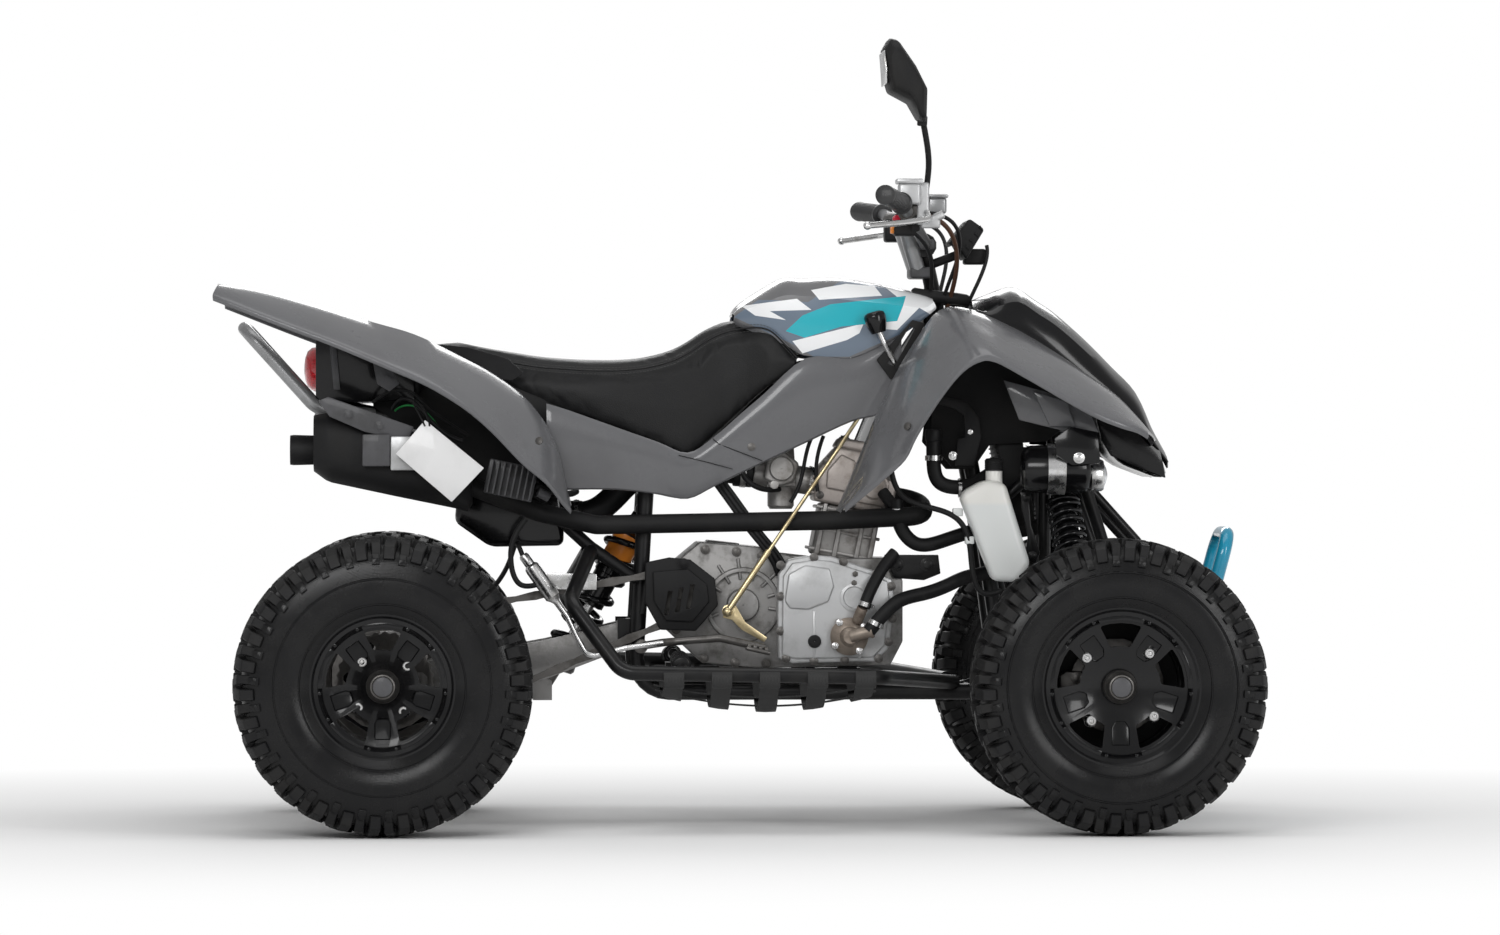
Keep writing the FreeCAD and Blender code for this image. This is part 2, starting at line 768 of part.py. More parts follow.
def driveChain():
    loop = chainLoop()
    centres = []
    for a, b in zip(loop, loop[1:] + loop[:1]):
        count = max(1, round(math.hypot(b[0] - a[0], b[1] - a[1]) / 36))
        centres += [(a[0] + (b[0] - a[0]) * i / count, a[1] + (b[1] - a[1]) * i / count) for i in range(count)]
    rings = []
    for i, point in enumerate(centres):
        before, after = centres[i - 1], centres[(i + 1) % len(centres)]
        along = Vector(after[0] - before[0], 0, after[1] - before[1]).normalize()
        up = Vector(-along.z, 0, along.x)
        half = 8 if i % 2 else 5
        wide = 9 if i % 2 else 6
        middle = Vector(point[0], chainY, point[1])
        rings.append([middle + up * (half * a) + yAxis * (wide * b) for a, b in ((1, 1), (1, -1), (-1, -1), (-1, 1))])
    rings.append(rings[0])
    faces = []
    for one, two in zip(rings, rings[1:]):
        for i in range(4):
            faces.extend(facets([one[i], one[(i + 1) % 4], two[(i + 1) % 4], two[i]]))
    solid = solidOf(faces)
    hub = bar((driveCentre.x, -112.3, driveCentre.z), (driveCentre.x, chainY - 6, driveCentre.z), 13)
    wheel = barrel(tuple(driveCentre), (0, 1, 0), sprocketR - 3, 5)
    return join([solid, hub, wheel])


piece("drive_chain", driveChain(), ["frame_cradle", "frame_upper"])


# Rear axle: turns as one with its wheels

def toothedDisc(radius, teeth, rootDepth, width, holeR, centre):
    """Sprocket outline with pointed teeth and round lightening holes."""
    outline = []
    for i in range(teeth):
        for part, r in ((0.0, radius - rootDepth), (0.5, radius)):
            angle = 2 * math.pi * (i + part) / teeth
            outline.append((centre[0] + r * math.cos(angle), centre[2] + r * math.sin(angle)))
    disc = plate(outline, centre[1] - width / 2, centre[1] + width / 2)
    for i in range(6):
        angle = math.pi * i / 3
        spot = (centre[0] + 62 * math.cos(angle), centre[1], centre[2] + 62 * math.sin(angle))
        disc = disc.cut(barrel(spot, (0, 1, 0), holeR, width * 3))
    return disc


sprocket = toothedDisc(rearSprocketR - 16, 30, 5, 6, 15, (rearX, chainY, rearZ))
disc = barrel((rearX, 92, rearZ), (0, 1, 0), 100, 5)
for i in range(6):
    angle = math.pi * i / 3
    spot = (rearX + 62 * math.cos(angle), 92, rearZ + 62 * math.sin(angle))
    disc = disc.cut(barrel(spot, (0, 1, 0), 18, 20))
shaft = barrel((rearX, 0, rearZ), (0, 1, 0), 18, 2 * size("rearHalfTrack") + 110, 16)
hubs = [barrel((rearX, 350 * side, rearZ), (0, 1, 0), 30, 60) for name, side in sides]
piece("rear_axle", join([shaft, sprocket, disc] + hubs))


# Wheels

def tyreAt(y, radius, angle):
    return Vector(radius * math.sin(angle), y, radius * math.cos(angle))


def lugOn(corners, along, across, reach, taper, height):
    """A tapered block standing on a flat; along and across place it, reach is its half size."""
    a, b, c, d = corners
    middle = (a + b + c + d) * 0.25
    ahead = ((b + c) * 0.5 - (a + d) * 0.5).normalize()
    normal = (b - a).cross(d - a).normalize()
    if normal.dot(Vector(middle.x, 0, middle.z)) < 0:
        normal = normal * -1
    aside = normal.cross(ahead)
    if aside.y * middle.y < 0:
        aside = aside * -1
    base = middle + ahead * along + aside * across
    rings = []
    for grow, lift in ((1 + taper * 3 / height, -3), (1 - taper, height)):
        rings.append([base + ahead * ((u * reach[0] + v * reach[2]) * grow) + aside * (v * reach[1] * grow)
                      + normal * lift for u, v in ((-1, -1), (1, -1), (1, 1), (-1, 1))])
    return hull(rings)


def tyreSector(crown, outerR, width, seatR, rimW, skew):
    pitch = 2 * math.pi / size("lugCount")
    half = width / 2
    bead = (seatR + gap) / math.cos(pitch / 2)
    inner = rimW / 2 - 13
    shoulder = half - 12
    profile = [
        (-inner, bead), (-half, crown - 62), (-shoulder, crown - 22), (0, crown), (shoulder, crown - 22),
        (half, crown - 62), (inner, bead),
    ]
    sector = hull([[tyreAt(y, r, a) for y, r in profile] for a in (0, pitch)])
    lugs = []
    for side in (1, -1):
        corners = [tyreAt(0, crown, 0), tyreAt(0, crown, pitch), tyreAt(shoulder * side, crown - 22, pitch),
                   tyreAt(shoulder * side, crown - 22, 0)]
        reach = (9.5, shoulder * 0.46, skew * side)
        lugs.append(lugOn(corners, -12 * side, 0, reach, 0.1, outerR - crown + 1))
    return sector.fuse(lugs)


def tyre(outerR, width, seatR, rimW, skew):
    """Flat faced knobbly tyre about the Y axis: one pitch with two lugs, turned and fused."""
    crown = outerR - size("lugRise")
    for attempt in range(2):
        sector = tyreSector(crown, crown + size("lugRise"), width, seatR, rimW, skew)
        crown += outerR - max(math.hypot(v.X, v.Z) for v in sector.Vertexes)
    sector = tyreSector(crown, crown + size("lugRise"), width, seatR, rimW, skew)
    count = int(size("lugCount"))
    copies = []
    for i in range(count):
        copy = sector.copy()
        copy.rotate(Vector(0, 0, 0), yAxis, 360 * i / count)
        copies.append(copy)
    return copies[0].fuse(copies[1:]).removeSplitter()


def rim(centre, seatR, width, boreR, side):
    """Rim barrel and dished centre in flats, with five windows; side is the outer face."""
    half = width / 2
    flange = seatR + size("flangeRise")
    face = 0.22 * width
    hole = boreR / math.cos(math.pi / 16)
    profile = [
        (-half, seatR - 5), (-half, flange), (-half + 8, seatR), (-half + 46, seatR - 8), (half - 34, seatR - 8),
        (half - 12, seatR), (half, flange), (half, seatR - 5), (half - 26, seatR - 14), (face, seatR - 14),
        (face - 6, hole), (face - 18, hole), (face - 12, seatR - 14), (-half + 34, seatR - 14),
    ]
    shape = turned([(y * side, r) for y, r in profile], 16, centre)
    windows = []
    for i in range(5):
        corners = []
        for r, turn in ((seatR - 22, -25), (seatR - 22, 25), (56, 17), (56, -17)):
            angle = math.radians(90 + 72 * i + turn)
            corners.append((centre[0] + r * math.cos(angle), centre[2] + r * math.sin(angle)))
        windows.append(plate(corners, centre[1] - half, centre[1] + half))
    return shape.cut(windows)


for name, side in sides:
    y = size("frontHalfTrack") * side
    shape = tyre(frontZ, size("frontTyreW"), size("frontSeatR"), size("frontRimW"), 4)
    place(piece("front_tyre_" + name, shape), frontX, y, frontZ)
    piece("front_rim_" + name, rim((frontX, y, frontZ), size("frontSeatR"), size("frontRimW"), 19, side))
    y = size("rearHalfTrack") * side
    shape = tyre(rearZ, size("rearTyreW"), size("rearSeatR"), size("rearRimW"), -4)
    place(piece("rear_tyre_" + name, shape), rearX, y, rearZ)
    piece("rear_rim_" + name, rim((rearX, y, rearZ), size("rearSeatR"), size("rearRimW"), 18 + gap, side))


def pitmanEye(side):
    return Vector(stemFoot.x + 56, 18 * side, stemFoot.z - 21.5)


def tieEye(side):
    return Vector(frontX + 78, (kingY + 9) * side, frontZ + 10)


def frontHub(side):
    y = size("frontHalfTrack") * side
    face = y + (0.22 * size("frontRimW") - 18) * side
    shapes = [
        bar((frontX, y - 31 * side, frontZ), (frontX, face - gap * side, frontZ), 46),
        bar((frontX, y - 25 * side, frontZ), (frontX, face + 34 * side, frontZ), 18.7),
        bar((frontX, y - 37 * side, frontZ), (frontX, y - 33 * side, frontZ), 84),
        bar((frontX, y - 41 * side, frontZ), (frontX, y - 29 * side, frontZ), 40),
    ]
    return join(shapes).cut(bore((frontX, y - 65 * side, frontZ), (frontX, face + 4 * side, frontZ), 15))


def knuckle(side):
    """Upright with a spindle, two forks that hold the ball joints and a forward steering arm."""
    lowZ, highZ = frontZ - 58, frontZ + 74
    lowY, highY = (kingY - 14) * side, (kingY - 34) * side
    web = [(frontX - 26, lowZ + 19), (frontX + 28, lowZ + 19), (frontX + 30, frontZ), (frontX + 8, highZ - 18),
           (frontX - 30, highZ - 18), (frontX - 32, frontZ)]
    near, far = sorted(((kingY + 11) * side, (kingY + 27) * side))
    shapes = [plate(web, near, far)]
    near, far = sorted((lowY - 19 * side, (kingY + 17) * side))
    shapes.append(box((frontX - 14, near, lowZ + 19), (frontX + 26, far, lowZ + 29)))
    shapes.append(bar((frontX + 6, lowY, lowZ + 13.8), (frontX + 6, lowY, lowZ + 22), 6))
    near, far = sorted((highY - 19 * side, (kingY + 17) * side))
    shapes.append(box((frontX - 30, near, highZ - 28), (frontX + 6, far, highZ - 18)))
    shapes.append(bar((frontX - 12, highY, highZ - 22), (frontX - 12, highY, highZ - 12.8), 6))
    shapes.append(bar((frontX, (kingY + 15) * side, frontZ), (frontX, (size("frontHalfTrack") + 5) * side, frontZ), 14.7, 16))
    near, far = sorted(((kingY + 1) * side, (kingY + 17) * side))
    shapes.append(box((frontX + 10, near, frontZ + 22), (frontX + 90, far, frontZ + 34)))
    eye = tieEye(side)
    shapes.append(bar(eye + zAxis * 7.8, eye + zAxis * 14, 4))
    return join(shapes)


for name, side in sides:
    piece("front_hub_" + name, frontHub(side))
    piece("knuckle_" + name, knuckle(side))


# Steering

def steeringStem():
    low = stemPoint(stemFoot.z - 20)
    shapes = [
        bar(low, stemHead, size("stemR"), 12),
        box((stemFoot.x - 16, -32, stemFoot.z - 9), (stemFoot.x + 70, 32, stemFoot.z - 3)),
        barrel(stemHead, (0, 1, 0), 22, 100),
    ]
    for name, side in sides:
        eye = pitmanEye(side)
        shapes.append(bar(eye + zAxis * 7.8, eye + zAxis * 14, 5))
    return join(shapes)


def tieRod(side):
    a, b = pitmanEye(side), tieEye(side)
    return join([bar(a, b, 6.5), barrel(a, (0, 0, 1), 12, 14), barrel(b, (0, 0, 1), 12, 14)])


handlebar = tube(ahead([
    (-93, 385, 1123), (-54, 258, 1112), (0, 64, 1048), (0, -64, 1048), (-54, -258, 1112), (-93, -385, 1123),
], stemHead.x), size("barR"), 60)
gripShapes = []
for name, side in sides:
    piece("tie_rod_" + name, tieRod(side))
    start = Vector(stemHead.x - 54, 258 * side, 1112)
    end = Vector(stemHead.x - 93, 385 * side, 1123)
    line = (end - start).normalize()
    grip = join([bar(start, end, 17), bar(start, start + line * 8, 24), bar(end - line * 8, end, 20)])
    gripShapes.append(grip)
piece("handlebar", join([handlebar] + gripShapes))
piece("steering_stem", steeringStem(), ["handlebar"])


def handControls():
    shapes = []
    for side in (1, -1):
        start = Vector(stemHead.x - 54, 258 * side, 1112)
        line = (Vector(stemHead.x, 64 * side, 1048) - start).normalize()
        at = lambda d: start + line * d
        shapes.append(bar(at(3), at(44), 21))
        shapes.append(bar(at(52), at(80), 19))
        near, far = sorted((190 * side, 232 * side))
        shapes.append(box((stemHead.x - 26, near, 1090), (stemHead.x + 20, far, 1124)))
        reach = ahead([(-2, 236 * side, 1080), (-56, 330 * side, 1072), (-130, 400 * side, 1060)], stemHead.x)
        lever = tube([tuple(at(60))] + reach, 6, 30)
        shapes.append(lever)
    return shapes


handed = handControls()
for name, group in (("left", handed[:4]), ("right", handed[4:])):
    solid = join(group)
    piece("hand_controls_" + name, solid, ["handlebar"])


stalk = tube(ahead([(-16, -210, 1112), (-14, -226, 1170), (-16, -244, 1250), (-56, -262, 1320)], stemHead.x), 5, 30)
shell = hull([ahead(ring, stemHead.x) for ring in (
    [(-88, -200, 1310), (-88, -330, 1330), (-88, -340, 1390), (-88, -210, 1400)],
    [(-56, -190, 1284), (-56, -336, 1306), (-56, -350, 1398), (-56, -200, 1406)],
    [(-26, -220, 1300), (-26, -310, 1316), (-26, -320, 1380), (-26, -226, 1384)],
)])
piece("mirror", join([stalk, shell]), ["hand_controls_right"])
case = hull([ahead(ring, stemHead.x) for ring in (
    [(114, -70, 1040), (114, 70, 1040), (96, 70, 1090), (96, -70, 1090)],
    [(48, -76, 1012), (48, 76, 1012), (46, 76, 1072), (46, -76, 1072)],
)])
piece("dash", join([case, bar((stemHead.x + 54, 0, 1040), (stemHead.x + 16, 0, 1050), 9)]), ["steering_stem", "handlebar"])


# Body panels

seatRows = [
    (-544.7, 40, 872, 30), (-470, 92, 864, 40), (-380, 118, 848, 70), (-250, 134, 838, 90), (-170, 130, 838, 90),
    (-90, 110, 856, 80), (-24, 92, 898, 80), (57.7, 78, 909, 60),
]


def seat():
    rings = []
    for x, half, top, depth in seatRows:
        rings.append([
            (x, -half, top - depth), (x, -half - 8, top - 26), (x, -half + 14, top - 4), (x, 0, top),
            (x, half - 14, top - 4), (x, half + 8, top - 26), (x, half, top - depth),
        ])
    return hull(rings)


piece("seat", seat())


def rearFender(side):
    rows = [
        ((-915, 232, 962), (-914, 262, 964), (-920, 300, 949)),
        ((-828, 190, 950), (-828, 240, 950), (-802, 330, 903)),
        ((-733, 147, 906), (-720, 236, 922), (-707, 346, 868)),
        ((-638, 144, 874), (-628, 232, 890), (-612, 352, 828)),
        ((-540, 142, 842), (-530, 226, 852), (-521, 352, 784)),
        ((-430, 150, 812), (-426, 222, 800), (-428, 346, 718)),
        ((-340, 152, 734), (-336, 216, 722), (-348, 330, 646)),
        ((-300, 154, 610), (-292, 200, 590), (-289, 300, 572)),
    ]
    panel = plate([(-356, 764), (-68, 667), (-30, 700), (58, 657), (-77, 596), (-204, 618), (-310, 598)], 150, 154)
    return onSide(join([skin(rows, -4), panel]), side)


def frontFender(side):
    rows = [ahead(row) for row in (
        ((-480.5, 210, 566), (-476.5, 250, 563), (-469.5, 300, 575)),
        ((-446.5, 190, 640), (-434.5, 250, 634), (-406.5, 338, 626)),
        ((-404.5, 180, 742), (-386.5, 250, 740), (-344.5, 350, 706)),
        ((-354.5, 176, 842), (-326.5, 250, 846), (-282.5, 352, 800)),
        ((-288.5, 176, 940), (-256.5, 240, 914), (-222.5, 352, 846)),
    )]
    outer = (
        ((-230.5, 244, 896), (-200.5, 353, 836)), ((-148.5, 246, 860), (-151.5, 354, 811)), ((-76.5, 246, 826), (-78.5, 352, 770)),
        ((-20.5, 244, 792), (-21.5, 350, 741)), ((27.5, 240, 758), (23.5, 344, 724)), ((65.5, 232, 722), (49.5, 334, 714)),
        ((93.5, 220, 690), (64.5, 320, 706)),
    )
    for (x, half, top, low), (middle, edge) in zip(noseRows, outer):
        rows.append(ahead(((x, half + gap, low), middle, edge)))
    return onSide(skin(rows, -4), side)


tankRows = [
    (58, 100, 772, 911), (99, 128, 780, 982), (164, 138, 794, 980), (246, 138, 808, 976), (346, 134, 828, 956),
]
sidePanels = [
    onSide(plate([
        (-26, 705), (135, 839), (60, 850), (120, 900), (217, 900), (312, 900), (303, 760), (271, 741), (228, 735),
        (66, 660),
    ], 134, 140), side) for name, side in sides
]
tankTop = hull([
    [(x, -half, low), (x, -half + 6, top - 26), (x, -half + 46, top), (x, half - 46, top), (x, half - 6, top - 26),
     (x, half, low)] for x, half, low, top in tankRows
])
stemSlot = bar(stemPoint(840), stemPoint(1000), size("stemR") + 3 * size("runGap"))
piece("tank_cover", join(sidePanels + [tankTop]).cut(stemSlot), ["frame_upper", "frame_cradle"])
noseRows = [
    (-236.5, 174, 930, 921), (-151.5, 172, 965, 886), (-78.5, 168, 919, 842), (-24.5, 160, 871, 803), (24.5, 150, 822, 769),
    (67.5, 140, 778, 718), (96.5, 128, 715, 681), (124.5, 110, 666, 650),
]
piece("nose_panel", skin([ahead(
    ((x, -half, low), (x, -half + 6, top - 30), (x, -half * 0.55, top), (x, half * 0.55, top),
     (x, half - 6, top - 30), (x, half, low))) for x, half, top, low in noseRows
], 4), ["frame_front"])
tailRows = [(-742, 150, 764, 930), (-660, 148, 760, 908), (-566, 140, 764, 878), (-545, 120, 790, 868)]
piece("tail_panel", hull([
    [(x, -half, low), (x, -half, top - 14), (x, -half + 20, top), (x, half - 20, top), (x, half, top - 14),
     (x, half, low)] for x, half, low, top in tailRows
]), ["frame_upper"])
for name, side in sides:
    piece("rear_fender_" + name, rearFender(side), ["tail_panel", "exhaust", "frame_upper"])
    piece("front_fender_" + name, frontFender(side))


# Lamps, bars and small equipment

headLamps = [box((frontX - 30, -182, 612), (frontX - 22, 182, 640))]
tailLamps = [box((-752, -60, 806), (-742.3, 60, 834))]
for name, side in sides:
    headLamps += [
        bar((frontX - 150, 216 * side, 640), (frontX - 26, 218 * side, 640), 42),
        bar((frontX - 26, 218 * side, 640), (frontX + 6, 219 * side, 640), 48),
    ]
    tailLamps += [
        bar((-742.3, 92 * side, 820), (-768, 92 * side, 820), 44),
        bar((-768, 92 * side, 820), (-790, 92 * side, 820), 34),
    ]
    peg = bar((-93, 180 * side, 300), (-93, 330 * side, 294), 16)
    loop = tube([
        (-250, 104 * side, 492), (-292, 380 * side, 408), (-200, 440 * side, 284),
    ] + ahead([(-416.5, 440 * side, 276), (-262.5, 98 * side, 256)]), 13, 40)
    near, far = sorted((130 * side, 436 * side))
    nets = [box((x, near, 268), (x + 40, far, 271)) for x in (-40, 60, 160)]
    nets += [box((-130, y - 20, 267), (240, y + 20, 270)) for y in (230 * side, 340 * side)]
    hook = bar((-93, 119.5 * side, 303), (-93, 440 * side, 282), 9)
    inner = bar((-150, 128 * side, 270), (250, 128 * side, 270), 6)
    links = [bar((x, 119.5 * side, 262), (x, 130 * side, 270), 5) for x in (-140, 240)]
    solid = join([loop, peg, hook, inner] + nets + links)
    piece("foot_bar_" + name, solid, ["frame_cradle", "frame_upper"])
piece("headlamps", join(headLamps), ["frame_front", "front_shock_left", "front_shock_right"])
piece("tail_lamps", join(tailLamps))

rail = tube([
    (-640, -104, 738), (-740, -152, 748), (-870, -150, 892), (-870, 150, 892), (-740, 152, 748), (-640, 104, 738),
], 12, 40)
grip = Part.makeCylinder(12, 184, Vector(-870, -92, 892), yAxis)
piece("grab_bar", rail.fuse(grip), ["frame_upper", "tail_panel"])
hoop = tube(ahead([
    (77.5, -72, 236), (213.5, -80, 430), (238.5, -80, 523), (238.5, 80, 523), (213.5, 80, 430), (77.5, 72, 236),
]), 12.5, 40)
grip = Part.makeCylinder(12.5, 74, Vector(frontX + 238.5, -37, 523), yAxis)
piece("front_bumper", hoop.fuse(grip), ["frame_front"])
piece("brake_pedal", join([
    tube([(-160, -112, 322), (-120, -168, 330), (-20, -180, 338), (60, -180, 320)], 7, 14),
    box((30, -226, 322), (66, -178, 332)),
]), ["frame_cradle"])
piece("gear_lever", join([
    bar((261, -160, 900), (300, -160, 820), 7),
    bar((261, -160, 886), (261, -160, 920), 19),
    tube([(299, -160, 822), (240, -172, 703), (-6, -168, 385)], 4, 20),
    bar((299, -164, 822), (299, -138, 822), 6),
    bar((-6, -172, 385), (-6, -112.3, 385), 8),
]), ["tank_cover", "engine_crankcase"])


# Checks and export

doc.recompute()
os.makedirs("parts", exist_ok=True)
wrong = []
written = 0
for item in doc.Objects:
    if item.State and ("Invalid" in item.State or "Error" in item.State):
        wrong.append(item.Name)
    if item.TypeId not in ("PartDesign::Body", "Part::Feature"):
        continue
    if item.Shape.isNull() or not item.Shape.isValid() or len(item.Shape.Solids) != 1:
        wrong.append("%s: %d solids" % (item.Label, len(item.Shape.Solids)))
        continue
    item.Shape.exportStep("parts/%s.step" % item.Label)
    written += 1
if wrong:
    raise RuntimeError("Not sound: " + ", ".join(wrong))
print("parts written:", written)
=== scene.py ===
import math
import bpy
from mathutils import Matrix, Vector


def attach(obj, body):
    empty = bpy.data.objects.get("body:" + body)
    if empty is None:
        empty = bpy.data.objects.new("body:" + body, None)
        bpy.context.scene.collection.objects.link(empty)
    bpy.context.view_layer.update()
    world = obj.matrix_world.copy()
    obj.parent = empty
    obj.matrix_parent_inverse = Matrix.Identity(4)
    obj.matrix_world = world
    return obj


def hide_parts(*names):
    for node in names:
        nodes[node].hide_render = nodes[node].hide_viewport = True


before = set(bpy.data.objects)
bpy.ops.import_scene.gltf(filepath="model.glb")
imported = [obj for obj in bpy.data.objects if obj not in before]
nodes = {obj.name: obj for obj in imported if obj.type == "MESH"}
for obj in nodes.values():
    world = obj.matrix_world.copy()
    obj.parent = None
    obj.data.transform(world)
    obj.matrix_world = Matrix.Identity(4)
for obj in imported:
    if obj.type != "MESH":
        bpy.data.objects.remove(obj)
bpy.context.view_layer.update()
sides = (("left", 1), ("right", -1))

# A sport quad bike. Lengths in the tables are millimetres: x forward, y left, z up.
milli = 0.001
toNear = (0, -1, 0)


# Modelling by hand

def mm(point):
    return Vector(point) * milli


def objectMode():
    bpy.ops.object.mode_set(mode="OBJECT")


def editAll():
    bpy.ops.object.mode_set(mode="EDIT")
    bpy.ops.mesh.select_all(action="SELECT")


def fresh():
    if bpy.context.object and bpy.context.object.mode != "OBJECT":
        objectMode()
    bpy.ops.object.select_all(action="DESELECT")


def only(*pieces):
    fresh()
    for piece in pieces:
        piece.select_set(True)
    bpy.context.view_layer.objects.active = pieces[0]
    return pieces[0]


def modify(piece, kind, **settings):
    only(piece)
    modifier = piece.modifiers.new(kind.title(), kind)
    for key, setting in settings.items():
        setattr(modifier, key, setting)
    bpy.ops.object.modifier_apply(modifier=modifier.name)
    return piece


def clean(piece, merge=0.00005, smooth=35):
    only(piece)
    bpy.ops.object.transform_apply()
    editAll()
    bpy.ops.mesh.remove_doubles(threshold=merge)
    bpy.ops.mesh.normals_make_consistent(inside=False)
    objectMode()
    bpy.ops.object.shade_smooth_by_angle(angle=math.radians(smooth))
    return piece


def bevelled(piece, width=1.2, segments=2, angle=35):
    return modify(piece, "BEVEL", width=width * milli, segments=segments, limit_method="ANGLE",
                  angle_limit=math.radians(angle))


def united(name, parts):
    only(*parts)
    if len(parts) > 1:
        bpy.ops.object.join()
    piece = bpy.context.object
    piece.name = piece.data.name = name
    return piece


def finished(piece, name, finish, smooth=None, stands=(), body="chassis"):
    # one named piece from an object or a list of them, with its finish, its body and the nodes it stands for
    if isinstance(piece, list):
        piece = united(name, piece)
    only(piece)
    bpy.ops.object.transform_apply()
    if smooth:
        bpy.ops.object.shade_smooth_by_angle(angle=math.radians(smooth))
    piece.name = piece.data.name = name
    piece.data.materials.clear()
    piece.data.materials.append(paint[finish])
    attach(piece, body)
    if stands:
        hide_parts(*([stands] if isinstance(stands, str) else stands))
    return piece


def copied(piece):
    only(piece)
    bpy.ops.object.duplicate(linked=False)
    return bpy.context.object


def mirroredCopy(piece):
    twin = copied(piece)
    twin.scale.y = -1
    return clean(twin)


# Round bars and hoses

def emptyCurve(depth, around, resolution):
    fresh()
    curve = bpy.data.curves.new("runs", "CURVE")
    curve.dimensions = "3D"
    curve.bevel_depth, curve.bevel_resolution, curve.resolution_u = depth, around, resolution
    curve.use_fill_caps = True
    return curve


def meshed(curve, smooth):
    piece = bpy.data.objects.new("runs", curve)
    bpy.context.collection.objects.link(piece)
    only(piece)
    bpy.ops.object.convert(target="MESH")
    return clean(bpy.context.object, smooth=smooth)


def roundRuns(runs, resolution=4, around=4):
    # each run is its corners, its radius and the radius of its bends: straight runs joined by tangent bends
    curve = emptyCurve(milli, around, resolution)
    for corners, radius, bend in runs:
        corners = [mm(p) for p in corners]
        knots = [(corners[0], None, None)]
        for before, corner, after in zip(corners, corners[1:], corners[2:]):
            arriving, leaving = (corner - before).normalized(), (after - corner).normalized()
            turn = arriving.angle(leaving)
            if turn < 0.02:
                continue
            room = min((corner - before).length, (after - corner).length) * 0.49
            reach = min(bend * milli * math.tan(turn / 2), room)
            pull = 4 / 3 * math.tan(turn / 4) * reach / math.tan(turn / 2)
            knots.append((corner - arriving * reach, None, arriving * pull))
            knots.append((corner + leaving * reach, -leaving * pull, None))
        knots.append((corners[-1], None, None))
        spline = curve.splines.new("BEZIER")
        spline.bezier_points.add(len(knots) - 1)
        for i, (place, back, ahead) in enumerate(knots):
            point = spline.bezier_points[i]
            point.co = place
            point.radius = radius
            point.handle_left_type = point.handle_right_type = "FREE"
            previous = knots[i - 1][0] if i else place
            following = knots[i + 1][0] if i + 1 < len(knots) else place
            point.handle_left = place + (back or (previous - place) / 3)
            point.handle_right = place + (ahead or (following - place) / 3)
    return meshed(curve, 50)


def hose(points, radius, sides=3, fine=6):
    # a bent hose or cable held at both ends, on one smooth curve through its middle points
    curve = emptyCurve(radius * milli, sides, fine)
    spline = curve.splines.new("NURBS")
    spline.points.add(len(points) - 1)
    for point, place in zip(spline.points, points):
        point.co = (*mm(place), 1)
    spline.order_u = min(4, len(points))
    spline.use_endpoint_u = True
    return meshed(curve, 60)


def roundBar(start, end, radius, sides=20, edge=0.8):
    start, end = mm(start), mm(end)
    fresh()
    bpy.ops.mesh.primitive_cylinder_add(vertices=sides, radius=radius * milli, depth=(end - start).length,
                                        location=(start + end) / 2)
    piece = bpy.context.object
    piece.rotation_mode = "QUATERNION"
    piece.rotation_quaternion = (end - start).to_track_quat("Z", "Y")
    bpy.ops.object.transform_apply()
    if edge:
        bevelled(piece, edge, 2, 50)
    return piece


def block(low, high, edge=1.5, segments=2):
    low, high = mm(low), mm(high)
    fresh()
    bpy.ops.mesh.primitive_cube_add(size=1, location=(low + high) / 2, scale=high - low)
    bpy.ops.object.transform_apply()
    piece = bpy.context.object
    return bevelled(piece, edge, segments) if edge else piece


def polygon(corners):
    fresh()
    bpy.ops.mesh.primitive_circle_add(vertices=len(corners), fill_type="NGON")
    piece = bpy.context.object
    for vertex, corner in zip(piece.data.vertices, corners):
        vertex.co = mm(corner)
    editAll()
    return piece


def outlined(corners, depth, edge=1.5, segments=2):
    # corners are points in space round a flat outline; depth is the thickness vector
    piece = polygon(corners)
    bpy.ops.mesh.extrude_region_move(TRANSFORM_OT_translate={"value": mm(depth)})
    bpy.ops.mesh.select_all(action="SELECT")
    bpy.ops.mesh.normals_make_consistent(inside=False)
    objectMode()
    return bevelled(piece, edge, segments) if edge else piece


def lofted(sections, edge=0, smooth=35):
    # closed skin through rings of equal count, with its two ends filled
    piece = polygon(sections[0])
    for section in sections[1:]:
        bpy.ops.mesh.extrude_region_move(TRANSFORM_OT_translate={"value": (milli, 0, 0)})
        objectMode()
        for vertex, corner in zip([v for v in piece.data.vertices if v.select], section):
            vertex.co = mm(corner)
        bpy.ops.object.mode_set(mode="EDIT")
    objectMode()
    clean(piece, smooth=smooth)
    return bevelled(piece, edge, 2, 35) if edge else piece


def sidePlate(outline, nearY, farY, edge=1.5, segments=2):
    return outlined([(x, nearY, z) for x, z in outline], (0, farY - nearY, 0), edge, segments)


def spun(profile, steps, centre=(0, 0, 0), axis=(0, 1, 0), smooth=35):
    # closed (along, radius) outline turned about an axis through centre
    fresh()
    bpy.ops.mesh.primitive_circle_add(vertices=len(profile), fill_type="NOTHING")
    piece = bpy.context.object
    for vertex, (along, radius) in zip(piece.data.vertices, profile):
        vertex.co = Vector((radius, 0, along)) * milli
    editAll()
    bpy.ops.mesh.spin(steps=steps, angle=2 * math.pi, center=(0, 0, 0), axis=(0, 0, 1), use_auto_merge=True)
    objectMode()
    clean(piece, smooth=smooth)
    piece.rotation_mode = "QUATERNION"
    piece.rotation_quaternion = Vector(axis).to_track_quat("Z", "Y")
    piece.location = mm(centre)
    bpy.ops.object.transform_apply()
    return piece


